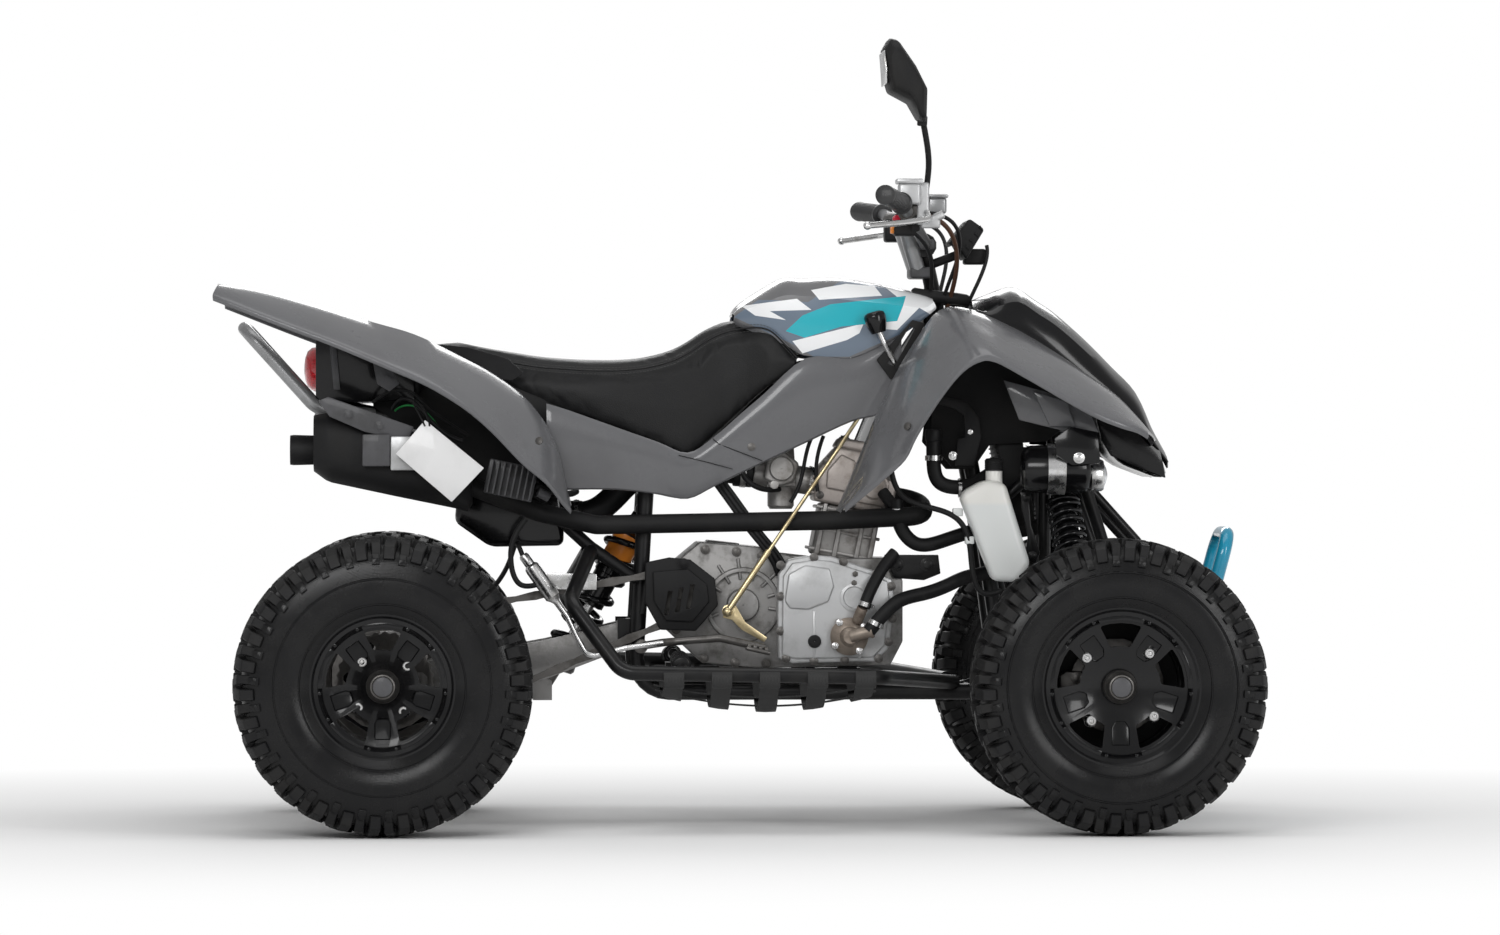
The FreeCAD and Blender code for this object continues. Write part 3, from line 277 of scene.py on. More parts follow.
def smoothLine(points, steps):
    # points on a smooth line through the given ones
    line = []
    last = len(points) - 1
    for i in range(last):
        a, b = Vector(points[i]), Vector(points[i + 1])
        before = Vector(points[i - 1]) if i else a * 2 - b
        after = Vector(points[i + 2]) if i + 2 <= last else b * 2 - a
        for n in range(steps):
            u = n / steps
            line.append(0.5 * (2 * a + (b - before) * u + (2 * before - 5 * a + 4 * b - after) * u * u
                               + (3 * a - before - 3 * b + after) * u ** 3))
    line.append(Vector(points[-1]))
    return line


def netOf(rows, steps=5, across=3, bulge=0.0):
    # smooth along the columns, creased at each column, a little crowned between columns
    columns = [smoothLine([row[j] for row in rows], steps) for j in range(len(rows[0]))]
    net = []
    for i in range(len(columns[0])):
        line = []
        for j in range(len(columns) - 1):
            a, b = columns[j][i], columns[j + 1][i]
            before = columns[j][max(i - 1, 0)]
            after = columns[j][min(i + 1, len(columns[j]) - 1)]
            out = (after - before).cross(b - a).normalized()
            for n in range(across):
                u = n / across
                line.append(a.lerp(b, u) + out * (bulge * 4 * u * (1 - u)))
        line.append(columns[-1][i])
        net.append(line)
    return net


def panel(net, thickness, edge=0.8):
    fresh()
    long, wide = len(net) - 1, len(net[0]) - 1
    bpy.ops.mesh.primitive_grid_add(x_subdivisions=long, y_subdivisions=wide, size=2)
    piece = bpy.context.object
    for vertex in piece.data.vertices:
        i = round((vertex.co.x + 1) / 2 * long)
        j = round((vertex.co.y + 1) / 2 * wide)
        vertex.co = mm(net[i][j])
    modify(piece, "SOLIDIFY", thickness=abs(thickness) * milli, offset=-1 if thickness > 0 else 1)
    if edge:
        bevelled(piece, edge, 2, 60)
    return clean(piece, smooth=28)


def rounded(node, name, finish, edge, angle, smooth, body="chassis"):
    # a copy of a CAD node, its flats made whole and its edges broken
    piece = copied(nodes[node])
    for key in list(piece.keys()):
        del piece[key]
    piece.parent = None
    piece.matrix_world = Matrix.Identity(4)
    editAll()
    bpy.ops.mesh.remove_doubles(threshold=0.00002)
    bpy.ops.mesh.dissolve_limited(angle_limit=math.radians(1.5))
    objectMode()
    bevelled(piece, edge, 2, angle)
    return finished(piece, name, finish, smooth, node, body)


# Finishes

class Value:
    # a node's output that takes arithmetic
    def __init__(self, tree, socket=None):
        self.tree = tree
        self.socket = socket

    def node(self, kind, settings=None, inputs=None, output=0):
        made = self.tree.nodes.new("ShaderNode" + kind)
        for key, setting in (settings or {}).items():
            setattr(made, key, setting)
        for key, given in (inputs or {}).items():
            if isinstance(given, Value):
                self.tree.links.new(given.socket, made.inputs[key])
            else:
                made.inputs[key].default_value = given
        return Value(self.tree, made.outputs[output])

    def maths(self, operation, first, second=0.0):
        return self.node("Math", {"operation": operation}, {0: first, 1: second})

    def __add__(self, other):
        return self.maths("ADD", self, other)

    def __sub__(self, other):
        return self.maths("SUBTRACT", self, other)

    def __mul__(self, other):
        return self.maths("MULTIPLY", self, other)

    def __gt__(self, other):
        return self.maths("GREATER_THAN", self, other)

    def __lt__(self, other):
        return self.maths("LESS_THAN", self, other)

    def __rsub__(self, other):
        return self.maths("SUBTRACT", other, self)

    __radd__ = __add__
    __rmul__ = __mul__

    def spot(self):
        # the shaded point's x, y and z in metres
        place = self.node("TexCoord", output=3)
        return [self.node("SeparateXYZ", {}, {0: place}, i) for i in range(3)]

    def noise(self, scale, detail=3.0, roughness=0.5):
        where = self.node("TexCoord", output=3)
        return self.node("TexNoise", {}, {"Vector": where, "Scale": scale, "Detail": detail,
                                          "Roughness": roughness})

    def spread(self, low, high, lowest=0.0, highest=1.0):
        return self.node("MapRange", {}, {0: self, 1: low, 2: high, 3: lowest, 4: highest})

    def blend(self, first, second):
        given = [(*c, 1) if isinstance(c, tuple) and len(c) == 3 else c for c in (first, second)]
        return self.node("Mix", {"data_type": "RGBA"}, {0: self, 6: given[0], 7: given[1]}, 2)

    def bump(self, height, strength):
        return self.node("Bump", {}, {"Strength": strength, "Distance": milli, "Height": height})


def shader(name, links=None, **sockets):
    material = bpy.data.materials.new(name)
    material.use_nodes = True
    tree = material.node_tree
    surface = tree.nodes["Principled BSDF"]
    for key, given in sockets.items():
        key = key.replace("_", " ")
        socket = surface.inputs[key]
        socket.default_value = (*given, 1) if isinstance(given, tuple) and socket.type == "RGBA" else given
    for key, given in (links(Value(tree)) if links else {}).items():
        tree.links.new(given.socket, surface.inputs[key])
    return material


# colour, its grubby or stained shade, roughness, grain, grain depth, coat or metal share, and patch size
finishes = {
    "greyPlastic": ((0.125, 0.126, 0.132), (0.105, 0.105, 0.11), 0.26, 900, 0.02, 0.5, 6),
    "blackGloss": ((0.0035, 0.0035, 0.004), (0.006, 0.006, 0.0065), 0.17, 700, 0.015, 0.25, 8),
    "framePaint": ((0.006, 0.006, 0.0065), (0.013, 0.0125, 0.012), 0.36, 500, 0.05, 0.1, 14),
    "matteBlack": ((0.0085, 0.0085, 0.009), (0.016, 0.0155, 0.015), 0.55, 1400, 0.12, 0.0, 10),
    "hoseRubber": ((0.009, 0.009, 0.0095), (0.018, 0.018, 0.018), 0.5, 2200, 0.1, 0.0, 20),
    "barePlate": ((0.085, 0.085, 0.09), (0.055, 0.055, 0.055), 0.45, 800, 0.08, 0.1, 16),
    "blueTube": ((0.01, 0.27, 0.42), (0.015, 0.22, 0.35), 0.22, 500, 0.02, 0.7, 8),
    "orangeBody": ((0.75, 0.24, 0.03), (0.5, 0.16, 0.03), 0.35, 500, 0.03, 0.2, 12),
    "tagCard": ((0.8, 0.8, 0.8), (0.72, 0.72, 0.72), 0.35, 300, 0.02, 0.3, 10),
    "gripRubber": ((0.03, 0.03, 0.031), (0.045, 0.045, 0.045), 0.4, 900, 0.1, 0.1, 20),
    "greenWire": ((0.02, 0.2, 0.05), (0.02, 0.13, 0.04), 0.4, 900, 0.02, 0.1, 20),
    "brownHose": ((0.075, 0.035, 0.02), (0.05, 0.026, 0.018), 0.42, 1800, 0.06, 0.1, 20),
    "redKnob": ((0.45, 0.01, 0.03), (0.35, 0.01, 0.03), 0.35, 900, 0.02, 0.2, 10),
}
metals = {
    "castAlloy": ((0.36, 0.35, 0.34), (0.13, 0.115, 0.1), 0.46, 260, 0.3, 0.75, 22),
    "gearAlloy": ((0.27, 0.265, 0.26), (0.085, 0.08, 0.07), 0.5, 240, 0.3, 0.7, 18),
    "silverPaint": ((0.5, 0.505, 0.51), (0.3, 0.3, 0.295), 0.36, 500, 0.1, 0.45, 10),
    "headAlloy": ((0.4, 0.36, 0.335), (0.17, 0.14, 0.115), 0.5, 240, 0.3, 0.6, 20),
    "pumpBronze": ((0.33, 0.28, 0.235), (0.13, 0.1, 0.08), 0.48, 260, 0.3, 0.7, 30),
    "brightSteel": ((0.62, 0.62, 0.62), (0.4, 0.39, 0.37), 0.24, 600, 0.04, 1.0, 40),
    "silverTube": ((0.3, 0.303, 0.308), (0.22, 0.22, 0.22), 0.3, 900, 0.05, 0.6, 14),
    "darkSteel": ((0.12, 0.115, 0.11), (0.05, 0.045, 0.04), 0.42, 500, 0.15, 0.9, 26),
    "goldPlate": ((0.6, 0.5, 0.3), (0.33, 0.25, 0.13), 0.3, 700, 0.05, 0.9, 30),
}


def plainFinish(name, colour, dusty, rough, grain, deep, coat, patch):
    def links(value):
        dust = value.noise(patch, 5, 0.62).spread(0.45, 0.72)
        fine = value.noise(grain, 2, 0.6)
        return {
            "Base Color": dust.blend(colour, dusty),
            "Roughness": rough + dust * 0.12 + (fine - 0.5) * 0.06,
            "Normal": value.bump(fine, deep),
        }
    return shader(name, links, Coat_Weight=coat, Coat_Roughness=0.08, Specular_IOR_Level=0.2)


def metalFinish(name, colour, stain, rough, grain, deep, metal, patch):
    def links(value):
        blotch = value.noise(patch, 6, 0.66).spread(0.48, 0.74)
        fine = value.noise(grain, 4, 0.65)
        return {
            "Base Color": blotch.blend(colour, stain),
            "Roughness": rough + blotch * 0.18 + (fine - 0.5) * 0.12,
            "Metallic": metal - blotch * 0.35 * metal,
            "Normal": value.bump(fine, deep),
        }
    return shader(name, links)


paint = {name: plainFinish(name, *facts) for name, facts in finishes.items()}
paint.update({name: metalFinish(name, *facts) for name, facts in metals.items()})


def wheelRubber(name, axleX, axleZ, wallFrom, wallTo):
    # glossy dressed side wall, duller lugs; fine rings follow the wheel
    def links(value):
        x, y, z = value.spot()
        dx, dz = x - axleX, z - axleZ
        radius = value.maths("SQRT", dx * dx + dz * dz)
        wall = radius.spread(wallFrom, wallTo)
        grime = value.noise(16, 5, 0.6).spread(0.42, 0.7)
        rings = value.maths("SINE", radius * 2600) * 0.5 + 0.5
        fine = value.noise(650, 3, 0.6)
        return {
            "Base Color": (grime * (0.35 + wall * 0.65)).blend((0.0055, 0.0055, 0.006),
                                                               (0.014, 0.0135, 0.013)),
            "Roughness": 0.22 + wall * 0.26 + grime * 0.1,
            "Normal": value.bump(fine * (0.25 + wall) + rings * 0.35 * (1 - wall), 0.22),
        }
    return shader(name, links, Specular_IOR_Level=0.24)


def seatVinyl():
    def links(value):
        spots = value.node("TexCoord", output=3)
        pebble = value.node("TexVoronoi", {"feature": "SMOOTH_F1"}, {"Vector": spots, "Scale": 520.0})
        wear = value.noise(9, 4, 0.6).spread(0.45, 0.75)
        return {
            "Base Color": wear.blend((0.008, 0.008, 0.0085), (0.013, 0.013, 0.013)),
            "Roughness": 0.5 + wear * 0.12,
            "Normal": value.bump(pebble + value.noise(90, 3, 0.5) * 0.4, 0.35),
        }
    return shader("seatVinyl", links, Specular_IOR_Level=0.24)


def tankSticker():
    # angular grey, slate, white and teal fields laid over the cover by its own side view
    slate, white, teal = (0.12, 0.16, 0.215), (0.86, 0.87, 0.88), (0.0, 0.4, 0.48)
    # corners of each field in the side view, and its colour
    fields = [
        ([(8, 914), (52, 945), (140, 940), (210, 985), (330, 968), (372, 950), (372, 905),
          (300, 880), (214, 842), (150, 842), (118, 862)], slate),
        ([(22, 934), (120, 946), (146, 926), (72, 924), (100, 908), (46, 916)], white),
        ([(146, 962), (210, 974), (262, 970), (274, 952), (160, 944)], white),
        ([(276, 974), (378, 950), (378, 908), (340, 930), (300, 890), (270, 892), (312, 940)], white),
        ([(112, 870), (240, 902), (232, 884), (210, 872), (130, 848)], white),
        ([(100, 888), (130, 916), (180, 936), (318, 952), (300, 906), (200, 896), (134, 876)], teal),
    ]

    def links(value):
        x, y, z = value.spot()
        side = value.maths("ABSOLUTE", y) > 0.08
        tint = value.noise(6, 5, 0.62).spread(0.45, 0.72).blend((0.125, 0.126, 0.132), (0.105, 0.105, 0.11))
        for corners, colour in fields:
            crossings = None
            for (ax, az), (bx, bz) in zip(corners, corners[1:] + corners[:1]):
                if az == bz:
                    continue
                low, high = sorted((az * milli, bz * milli))
                slope = (bx - ax) / (bz - az)
                crossed = (z > low) * (z < high) * (x < (z - az * milli) * slope + ax * milli)
                crossings = crossed if crossings is None else crossings + crossed
            inside = value.maths("MODULO", crossings, 2.0) > 0.5
            tint = (inside * side).blend(tint, colour)
        fine = value.noise(900, 2, 0.6)
        return {"Base Color": tint, "Roughness": 0.22 + fine * 0.05, "Normal": value.bump(fine, 0.02)}
    return shader("tankSticker", links, Coat_Weight=0.6, Coat_Roughness=0.08)


def bottlePlastic():
    def links(value):
        x, y, z = value.spot()
        level = (z + value.noise(20, 2) * 0.002).spread(0.575, 0.583)
        return {
            "Base Color": level.blend((0.72, 0.74, 0.73), (0.78, 0.775, 0.74)),
            "Normal": value.bump(value.noise(300, 2), 0.05),
        }
    return shader("bottlePlastic", links, Roughness=0.35, Subsurface_Weight=0.25,
                  Subsurface_Radius=(0.01, 0.01, 0.01), Subsurface_Scale=0.4)


def redLens():
    def links(value):
        x, y, z = value.spot()
        ribs = value.maths("SINE", y * 1400) * value.maths("SINE", z * 1400)
        return {"Base Color": ribs.spread(-1.0, 1.0).blend((0.32, 0.0, 0.006), (0.62, 0.012, 0.02)),
                "Normal": value.bump(ribs, 0.3)}
    # the faint red emission is a painted glow on the lens
    return shader("redLens", links, Roughness=0.12, Coat_Weight=0.8, Emission_Color=(0.5, 0.0, 0.01),
                  Emission_Strength=0.08)


def clearLens():
    def links(value):
        ribs = value.maths("SINE", value.spot()[1] * 1100)
        return {"Base Color": ribs.spread(-1.0, 1.0).blend((0.5, 0.52, 0.55), (0.9, 0.92, 0.94)),
                "Normal": value.bump(ribs, 0.35)}
    return shader("clearLens", links, Roughness=0.06, Metallic=0.35, Coat_Weight=1.0)


def netWeb():
    def links(value):
        x, y, z = value.spot()
        weave = value.maths("SINE", x * 2400) * value.maths("SINE", y * 2400)
        return {"Base Color": weave.spread(-1.0, 1.0).blend((0.008, 0.008, 0.008), (0.03, 0.03, 0.03)),
                "Normal": value.bump(weave, 0.4)}
    return shader("netWeb", links, Roughness=0.75)


for make in (seatVinyl, tankSticker, bottlePlastic, redLens, clearLens, netWeb):
    paint[make.__name__] = make()
paint["threadBlack"] = shader("threadBlack", lambda value: {
    "Base Color": value.noise(900, 2).blend((0.02, 0.02, 0.02), (0.05, 0.05, 0.05))}, Roughness=0.7)
print("finishes made:", len(paint))


# Wheels

frontWheel = {"x": 666.5, "y": 465, "z": 260, "radius": 260, "width": 176, "seat": 127,
              "rimWidth": 132, "bore": 19, "pitches": 30, "face": 29, "pcd": 78, "nutTurn": 49, "capReach": 32}
rearWheel = {"x": -618.5, "y": 435, "z": 262, "radius": 262, "width": 250, "seat": 114.5, "rimWidth": 206,
             "bore": 18.4, "pitches": 30, "face": 45, "pcd": 56, "nutTurn": 40, "capReach": 34}


def lugBlock(nearY, farY, start, end, low, high, skew, drop, crown):
    # a tapered tread block over part of a pitch, wrapped round the wheel; start and end are mm along the tread
    fresh()
    bpy.ops.mesh.primitive_cube_add(size=2)
    piece = bpy.context.object
    bevelled(piece, 160, 1, 30)
    for vertex in piece.data.vertices:
        u, v, w = (vertex.co.x + 1) / 2, (vertex.co.y + 1) / 2, (vertex.co.z + 1) / 2
        taper = 1 - 0.13 * w
        y = nearY + (farY - nearY) * (0.5 + (v - 0.5) * taper)
        around = (start + end) / 2 + (end - start) * (u - 0.5) * taper + skew * (v - 0.5)
        radius = low + (high - low) * w - drop * v * w
        angle = around / crown
        vertex.co = Vector((radius * math.sin(angle), y, radius * math.cos(angle))) * milli
    return piece


def tyre(size):
    outer, half, seat, flange = size["radius"], size["width"] / 2, size["seat"], size["rimWidth"] / 2
    crown = outer - 14
    wall = [
        (flange - 13, seat + 1), (flange - 2, seat + 9), (flange + 4, seat + 18), (half - 7, seat + 30),
        (half - 1.2, seat + 48), (half - 0.4, seat + 66), (half - 3.5, crown - 38), (half - 7, crown - 26),
        (half - 15, crown - 13), (half - 30, crown - 5),
    ]
    outside = wall + [(half * 0.3, crown - 0.5)]
    profile = outside + [(-y, r) for y, r in reversed(outside)]
    profile += [(-y, r) for y, r in ((flange - 22, seat + 4), (half - 14, seat + 44), (half - 16, crown - 34))]
    profile += [(y, r) for y, r in ((half - 16, crown - 34), (half - 14, seat + 44), (flange - 22, seat + 4))]
    body = spun(profile, 72, smooth=70)
    modify(body, "SUBSURF", levels=1, render_levels=1)
    pitch = 2 * math.pi * crown / size["pitches"]
    blocks = []
    for side in (1, -1):
        shift = 0 if side > 0 else pitch * 0.5
        rows = [
            # nearY, farY, start, end, base, top, skew, fall towards the far side
            (half - 36, half - 3, 0.06, 0.50, crown - 26, outer - 3, -4, 12),
            (half - 34, half - 13, 0.58, 0.94, crown - 20, outer - 3, 3, 7),
            (half * 0.26, half - 44, 0.30, 0.74, crown - 8, outer - 0.4, 9, 1.5),
            (3, half * 0.22, 0.02, 0.40, crown - 6, outer, 6, 0.5),
            (half - 11, half - 0.6, 0.60, 0.90, crown - 34, crown - 15, 0, 9),
        ]
        for nearY, farY, start, end, low, high, skew, drop in rows:
            blocks.append(lugBlock(nearY * side, farY * side, start * pitch + shift,
                                   end * pitch + shift, low, high, skew * side, drop, crown))
    lugs = united("lugs", blocks)
    clean(lugs, smooth=30)
    editAll()
    count = size["pitches"]
    bpy.ops.mesh.spin(steps=count - 1, angle=2 * math.pi * (count - 1) / count, dupli=True, center=(0, 0, 0),
                      axis=(0, 1, 0))
    objectMode()
    rings = []
    for side in (1, -1):
        for radius, at in ((seat + 74, half - 0.6), (seat + 30, half - 7.4)):
            rings.append(spun([((at + a) * side, radius + b)
                               for a, b in ((-1.5, -2), (0.5, -0.8), (0.5, 0.8), (-1.5, 2))], 72, smooth=60))
    return united("tyre", [body, lugs] + rings)


def polar(radius, degrees):
    return radius * math.cos(math.radians(degrees)), radius * math.sin(math.radians(degrees))


def ringArc(inner, outer, start, end, nearY, farY, steps):
    # a curved block between two radii; angles in degrees in the side view
    angles = [start + (end - start) * i / steps for i in range(steps + 1)]
    return sidePlate([polar(outer, a) for a in angles] + [polar(inner, a)
                                                          for a in reversed(angles)], nearY, farY, 0)


def carve(piece, cutter):
    modifier = piece.modifiers.new("cut", "BOOLEAN")
    modifier.object = cutter
    modifier.operation = "DIFFERENCE"
    modifier.solver = "EXACT"
    only(piece)
    bpy.ops.object.modifier_apply(modifier=modifier.name)
    bpy.data.objects.remove(cutter)
    return piece


def rim(size):
    # drawn with its outer face towards +y
    seat, half, face = size["seat"], size["rimWidth"] / 2, size["face"]
    flange = seat + 16
    depth = half - 12
    hub = size["pcd"] + 8
    shell = spun([
        (-half, seat - 4), (-half, flange), (-half + 3, flange), (-half + 7, seat + 2), (-half + 46, seat - 8),
        (half - 34, seat - 8), (half - 7, seat + 2), (half - 3, flange), (half, flange - 1), (half, seat + 9),
        (half - 4, seat + 5), (half - 5, seat - 2), (half - 12, seat - 9), (half - 30, seat - 14),
        (-half + 34, seat - 14), (-half + 10, seat - 6),
    ], 96, smooth=30)
    disc = spun([
        (face, size["bore"]), (face + 2, hub * 0.55), (depth - 8, seat - 26), (depth - 5, seat - 10),
        (depth - 26, seat - 10), (depth - 30, seat - 22), (face - 17, hub), (face - 17, size["bore"]),
    ], 90, smooth=30)
    windows = []
    for i in range(5):
        middle = 90 + 72 * i
        arc = seat - 15
        points = [polar(arc, middle + a) for a in (-19, -10, 0, 10, 19)]
        points += [polar(seat * 0.56, middle + a) for a in (14, 5, -5, -14)]
        windows.append(sidePlate(points, -half, half, 4, 3))
    for window in windows:
        carve(disc, window)
    for i in range(5):
        # the U shaped pocket of each spoke
        middle = math.radians(90 + 36 + 72 * i)
        out, turned = (Vector((math.cos(middle), 0, math.sin(middle))),
                       Vector((-math.sin(middle), 0, math.cos(middle))))
        wide = seat * 0.125
        start, stop = seat * 0.47, seat * 0.80
        corners = [out * stop - turned * wide, out * stop + turned * wide,
                   out * (start + wide * 0.7) + turned * wide,
                   out * start + turned * wide * 0.55, out * start - turned * wide * 0.55,
                   out * (start + wide * 0.7) - turned * wide]
        slope = (depth - 8 - face - 2) / (seat - 26 - hub * 0.55)
        cutter = outlined([(p.x, face + 2 + slope * (p.length - hub * 0.55) - 6.5, p.z) for p in corners],
                          (0, 60, 0), 2.5, 3)
        carve(disc, cutter)
    clean(disc, 0.00003, 30)
    bevelled(disc, 1.3, 2, 40)
    parts = [shell, disc]
    bolts = []
    for i in range(5):
        for turn in (-12.5, 12.5):
            x, z = polar(seat - 5, 90 + 36 + 72 * i + turn)
            bolts.append(roundBar((x, half - 14, z), (x, half - 5.5, z), 3.4, 6, 0.5))
        start = 90 + 36 + 72 * i + 17
        parts.append(bevelled(ringArc(seat - 11, seat - 1, start, start + 38, half - 10,
                                      half - 5.5, 8), 0.8, 2, 50))
    piece = united("rim", parts + bolts)
    bpy.ops.object.shade_smooth_by_angle(angle=math.radians(32))
    return piece


def wheelNuts(size, studs=4):
    # conical nuts on their studs
    nuts = []
    face = size["face"] + 1
    for i in range(studs):
        x, z = polar(size["pcd"], size["nutTurn"] + 360 * i / studs)
        nut = spun([(face - 4, 0), (face - 4, 12), (face + 2, 11.5), (face + 5, 9),
                    (face + 14, 8.4), (face + 15, 7),
                    (face + 15, 4.6), (face + 9, 4.2), (face + 9, 0)], 12, (x, 0, z), smooth=30)
        stud = roundBar((x, face, z), (x, face + 12.5, z), 3.6, 12, 0.5)
        nuts += [nut, stud]
    return united("nuts", nuts)


def axleCap(size):
    face = size["face"] + 1
    reach = size["capReach"]
    collar = spun([(face - 2, 0), (face - 2, 30), (face + reach * 0.45, 28.5), (face + reach * 0.55, 26),
                   (face + reach, 21.5), (face + reach + 1, 19), (face + reach - 2, 17.5),
                   (face + reach - 3, 0)], 48,
                  smooth=30)
    cap = spun([(face + reach - 5, 0), (face + reach - 5, 17.5), (face + reach - 1, 17), (face + reach, 15),
                (face + reach + 0.6, 0)], 40, smooth=30)
    return collar, cap


for place, size in (("front", frontWheel), ("rear", rearWheel)):
    paint[place + "Rubber"] = wheelRubber(place + "Rubber", size["x"] * milli, size["z"] * milli,
                                          (size["radius"] - 44) * milli, (size["radius"] - 26) * milli)
    master = tyre(size)
    wheel = rim(size)
    nuts = wheelNuts(size)
    collar, cap = axleCap(size)
    for name, side in sides:
        for made, label, finish, stands in (
                (master, "Tyre", place + "Rubber", place + "_tyre_" + name),
                (wheel, "Rim", "blackGloss", place + "_rim_" + name),
                (nuts, "Nuts", "brightSteel", ()),
                (collar, "Collar", "darkSteel", ()),
                (cap, "Cap", "barePlate", ())):
            piece = copied(made)
            if side < 0:
                piece.scale.y = -1
                clean(piece, 0.00001, 32)
            piece.location = mm((size["x"], size["y"] * side, size["z"]))
            finished(piece, place + label + name.title(), finish, None, stands,
                     "front_wheel_" + name if place == "front" else "rear_wheels")
    for made in (master, wheel, nuts, collar, cap):
        bpy.data.objects.remove(made)
    print(place, "wheels made")


# Body panels

def bolt(place, out, radius=6, high=4, sides=6):
    # a headed screw standing on a surface; out points away from it
    place, out = Vector(place), Vector(out).normalized()
    head = roundBar(place - out * 1, place + out * high, radius, sides, 0.6)
    washer = roundBar(place - out * 1, place + out * 1.4, radius * 1.45, 20, 0.4)
    return united("bolt", [head, washer])


# inner edge, crest and outer edge of the left rear fender, from its tail to its front foot
rearFenderRows = [
    ((-915, 228, 964), (-912, 260, 967), (-920, 300, 950)),
    ((-828, 188, 950), (-828, 240, 954), (-802, 330, 904)),
    ((-733, 150, 914), (-733, 236, 930), (-707, 346, 868)),
    ((-638, 146, 882), (-638, 232, 901), (-612, 352, 828)),
    ((-566, 144, 860), (-566, 228, 880), (-541, 353, 797)),
    ((-498, 148, 838), (-494, 225, 846), (-476, 352, 757)),
    ((-424, 150, 806), (-422, 222, 806), (-428, 346, 716)),
    ((-362, 152, 756), (-360, 218, 757), (-376, 334, 662)),
    ((-318, 154, 680), (-316, 212, 690), (-332, 322, 625)),
    ((-300, 156, 612), (-296, 204, 610), (-306, 308, 592)),
    ((-290, 158, 585), (-289, 200, 580), (-289, 296, 573)),
]
# station, upper edge, lower edge and distance from the centre line of the cover under the seat
sideCoverRows = [
    (-330, 758, 602, 157), (-288, 745, 606, 158), (-204, 715, 606, 159), (-130, 689, 598, 158),
    (-77, 670, 590, 156), (-31, 697, 611, 154), (20, 741, 636, 151), (60, 775, 655, 149),
    (135, 839, 690, 145), (217, 840, 728, 143), (265, 862, 740, 142), (308, 884, 762, 141),
]
# station, half width, lower edge, shoulder and crown of the tank cover
tankRows = [
    (12, 92, 903, 914, 922), (24, 101, 896, 922, 936), (60, 117, 880, 936, 960), (99, 129, 864, 950, 981),
    (132, 135, 845, 949, 980), (180, 139, 842, 946, 982), (220, 140, 841, 941, 979), (270, 140, 862, 936, 971),
    (315, 138, 886, 931, 962), (350, 134, 914, 928, 954), (368, 130, 930, 938, 948),
]
# inner edge, crest and outer edge of the left front fender, from its rear foot over the wheel to the nose tip
frontFenderRows = [
    ((186, 212, 566), (190, 254, 564), (198, 300, 577)), ((203, 200, 604), (212, 252, 600), (232, 322, 606)),
    ((222, 190, 648), (234, 250, 642), (264, 340, 634)), ((243, 184, 697), (258, 250, 694), (301, 350, 669)),
    ((264, 180, 748), (282, 250, 746), (322, 352, 710)), ((292, 178, 806), (314, 250, 806), (358, 353, 768)),
    ((330, 177, 870), (354, 248, 868), (396, 354, 817)), ((374, 176, 925), (396, 244, 908), (428, 354, 840)),
    ((432, 175, 926), (438, 244, 900), (458, 354, 842)), ((515, 173, 890), (518, 246, 864), (515, 355, 812)),
    ((588, 169, 846), (590, 246, 829), (588, 353, 770)), ((642, 161, 807), (646, 244, 795), (640, 350, 742)),
    ((691, 151, 773), (694, 240, 760), (684, 344, 725)), ((734, 141, 722), (732, 232, 724), (712, 334, 717)),
    ((762, 130, 684), (758, 220, 692), (733, 320, 706)),
]
# station, half width, crown and lower edge of the nose
noseRows = [
    (440, 172, 940, 924), (478, 173, 955, 905), (515, 172, 965, 888), (552, 171, 943, 866),
    (588, 168, 919, 844), (642, 160, 872, 805), (691, 150, 823, 771), (734, 140, 778, 720),
    (763, 128, 716, 683), (790, 110, 668, 652),
]


def lipped(rows, drop=13):
    # every row gets a turned down outer edge
    return [row + ((row[-1][0], row[-1][1] + 2, row[-1][2] - drop),) for row in rows]


def boltRow(spots, y, radius=6, high=5):
    return [bolt((x, y, z), toNear, radius, high) for x, z in spots]


def pair(made, name, finish, stand=""):
    for side, sign in sides:
        piece = copied(made) if sign > 0 else mirroredCopy(made)
        finished(piece, name + side.title(), finish, stands=stand and stand + side)
    bpy.data.objects.remove(made)


fender = panel(netOf(lipped(rearFenderRows), 4, 4, 3), 3.4)
pair(fender, "rearFender", "greyPlastic", "rear_fender_")
fender = panel(netOf(lipped(frontFenderRows), 4, 4, 3), 3.4)
pair(fender, "frontFender", "greyPlastic", "front_fender_")
cover = panel(netOf([((x, y - 4, top), (x, y + 3, top - 0.28 * (top - low)), (x, y - 5, low),
                      (x, y - 12, low - 3))
                     for x, top, low, y in sideCoverRows], 4, 3, 1.5), 3)
pair(cover, "sideCover", "greyPlastic")
tank = panel(netOf([((x, -half + 3, low), (x, -half, shoulder), (x, -half * 0.62, top - 5), (x, 0, top),
                     (x, half * 0.62, top - 5), (x, half, shoulder), (x, half - 3, low))
                    for x, half, low, shoulder, top in tankRows], 4, 4, 2.5), -4)
stemFoot, stemHead = Vector((522, 0, 290)), Vector((356, 0, 1045))


def stemPoint(z):
    return stemFoot + (stemHead - stemFoot) * ((z - stemFoot.z) / (stemHead.z - stemFoot.z))


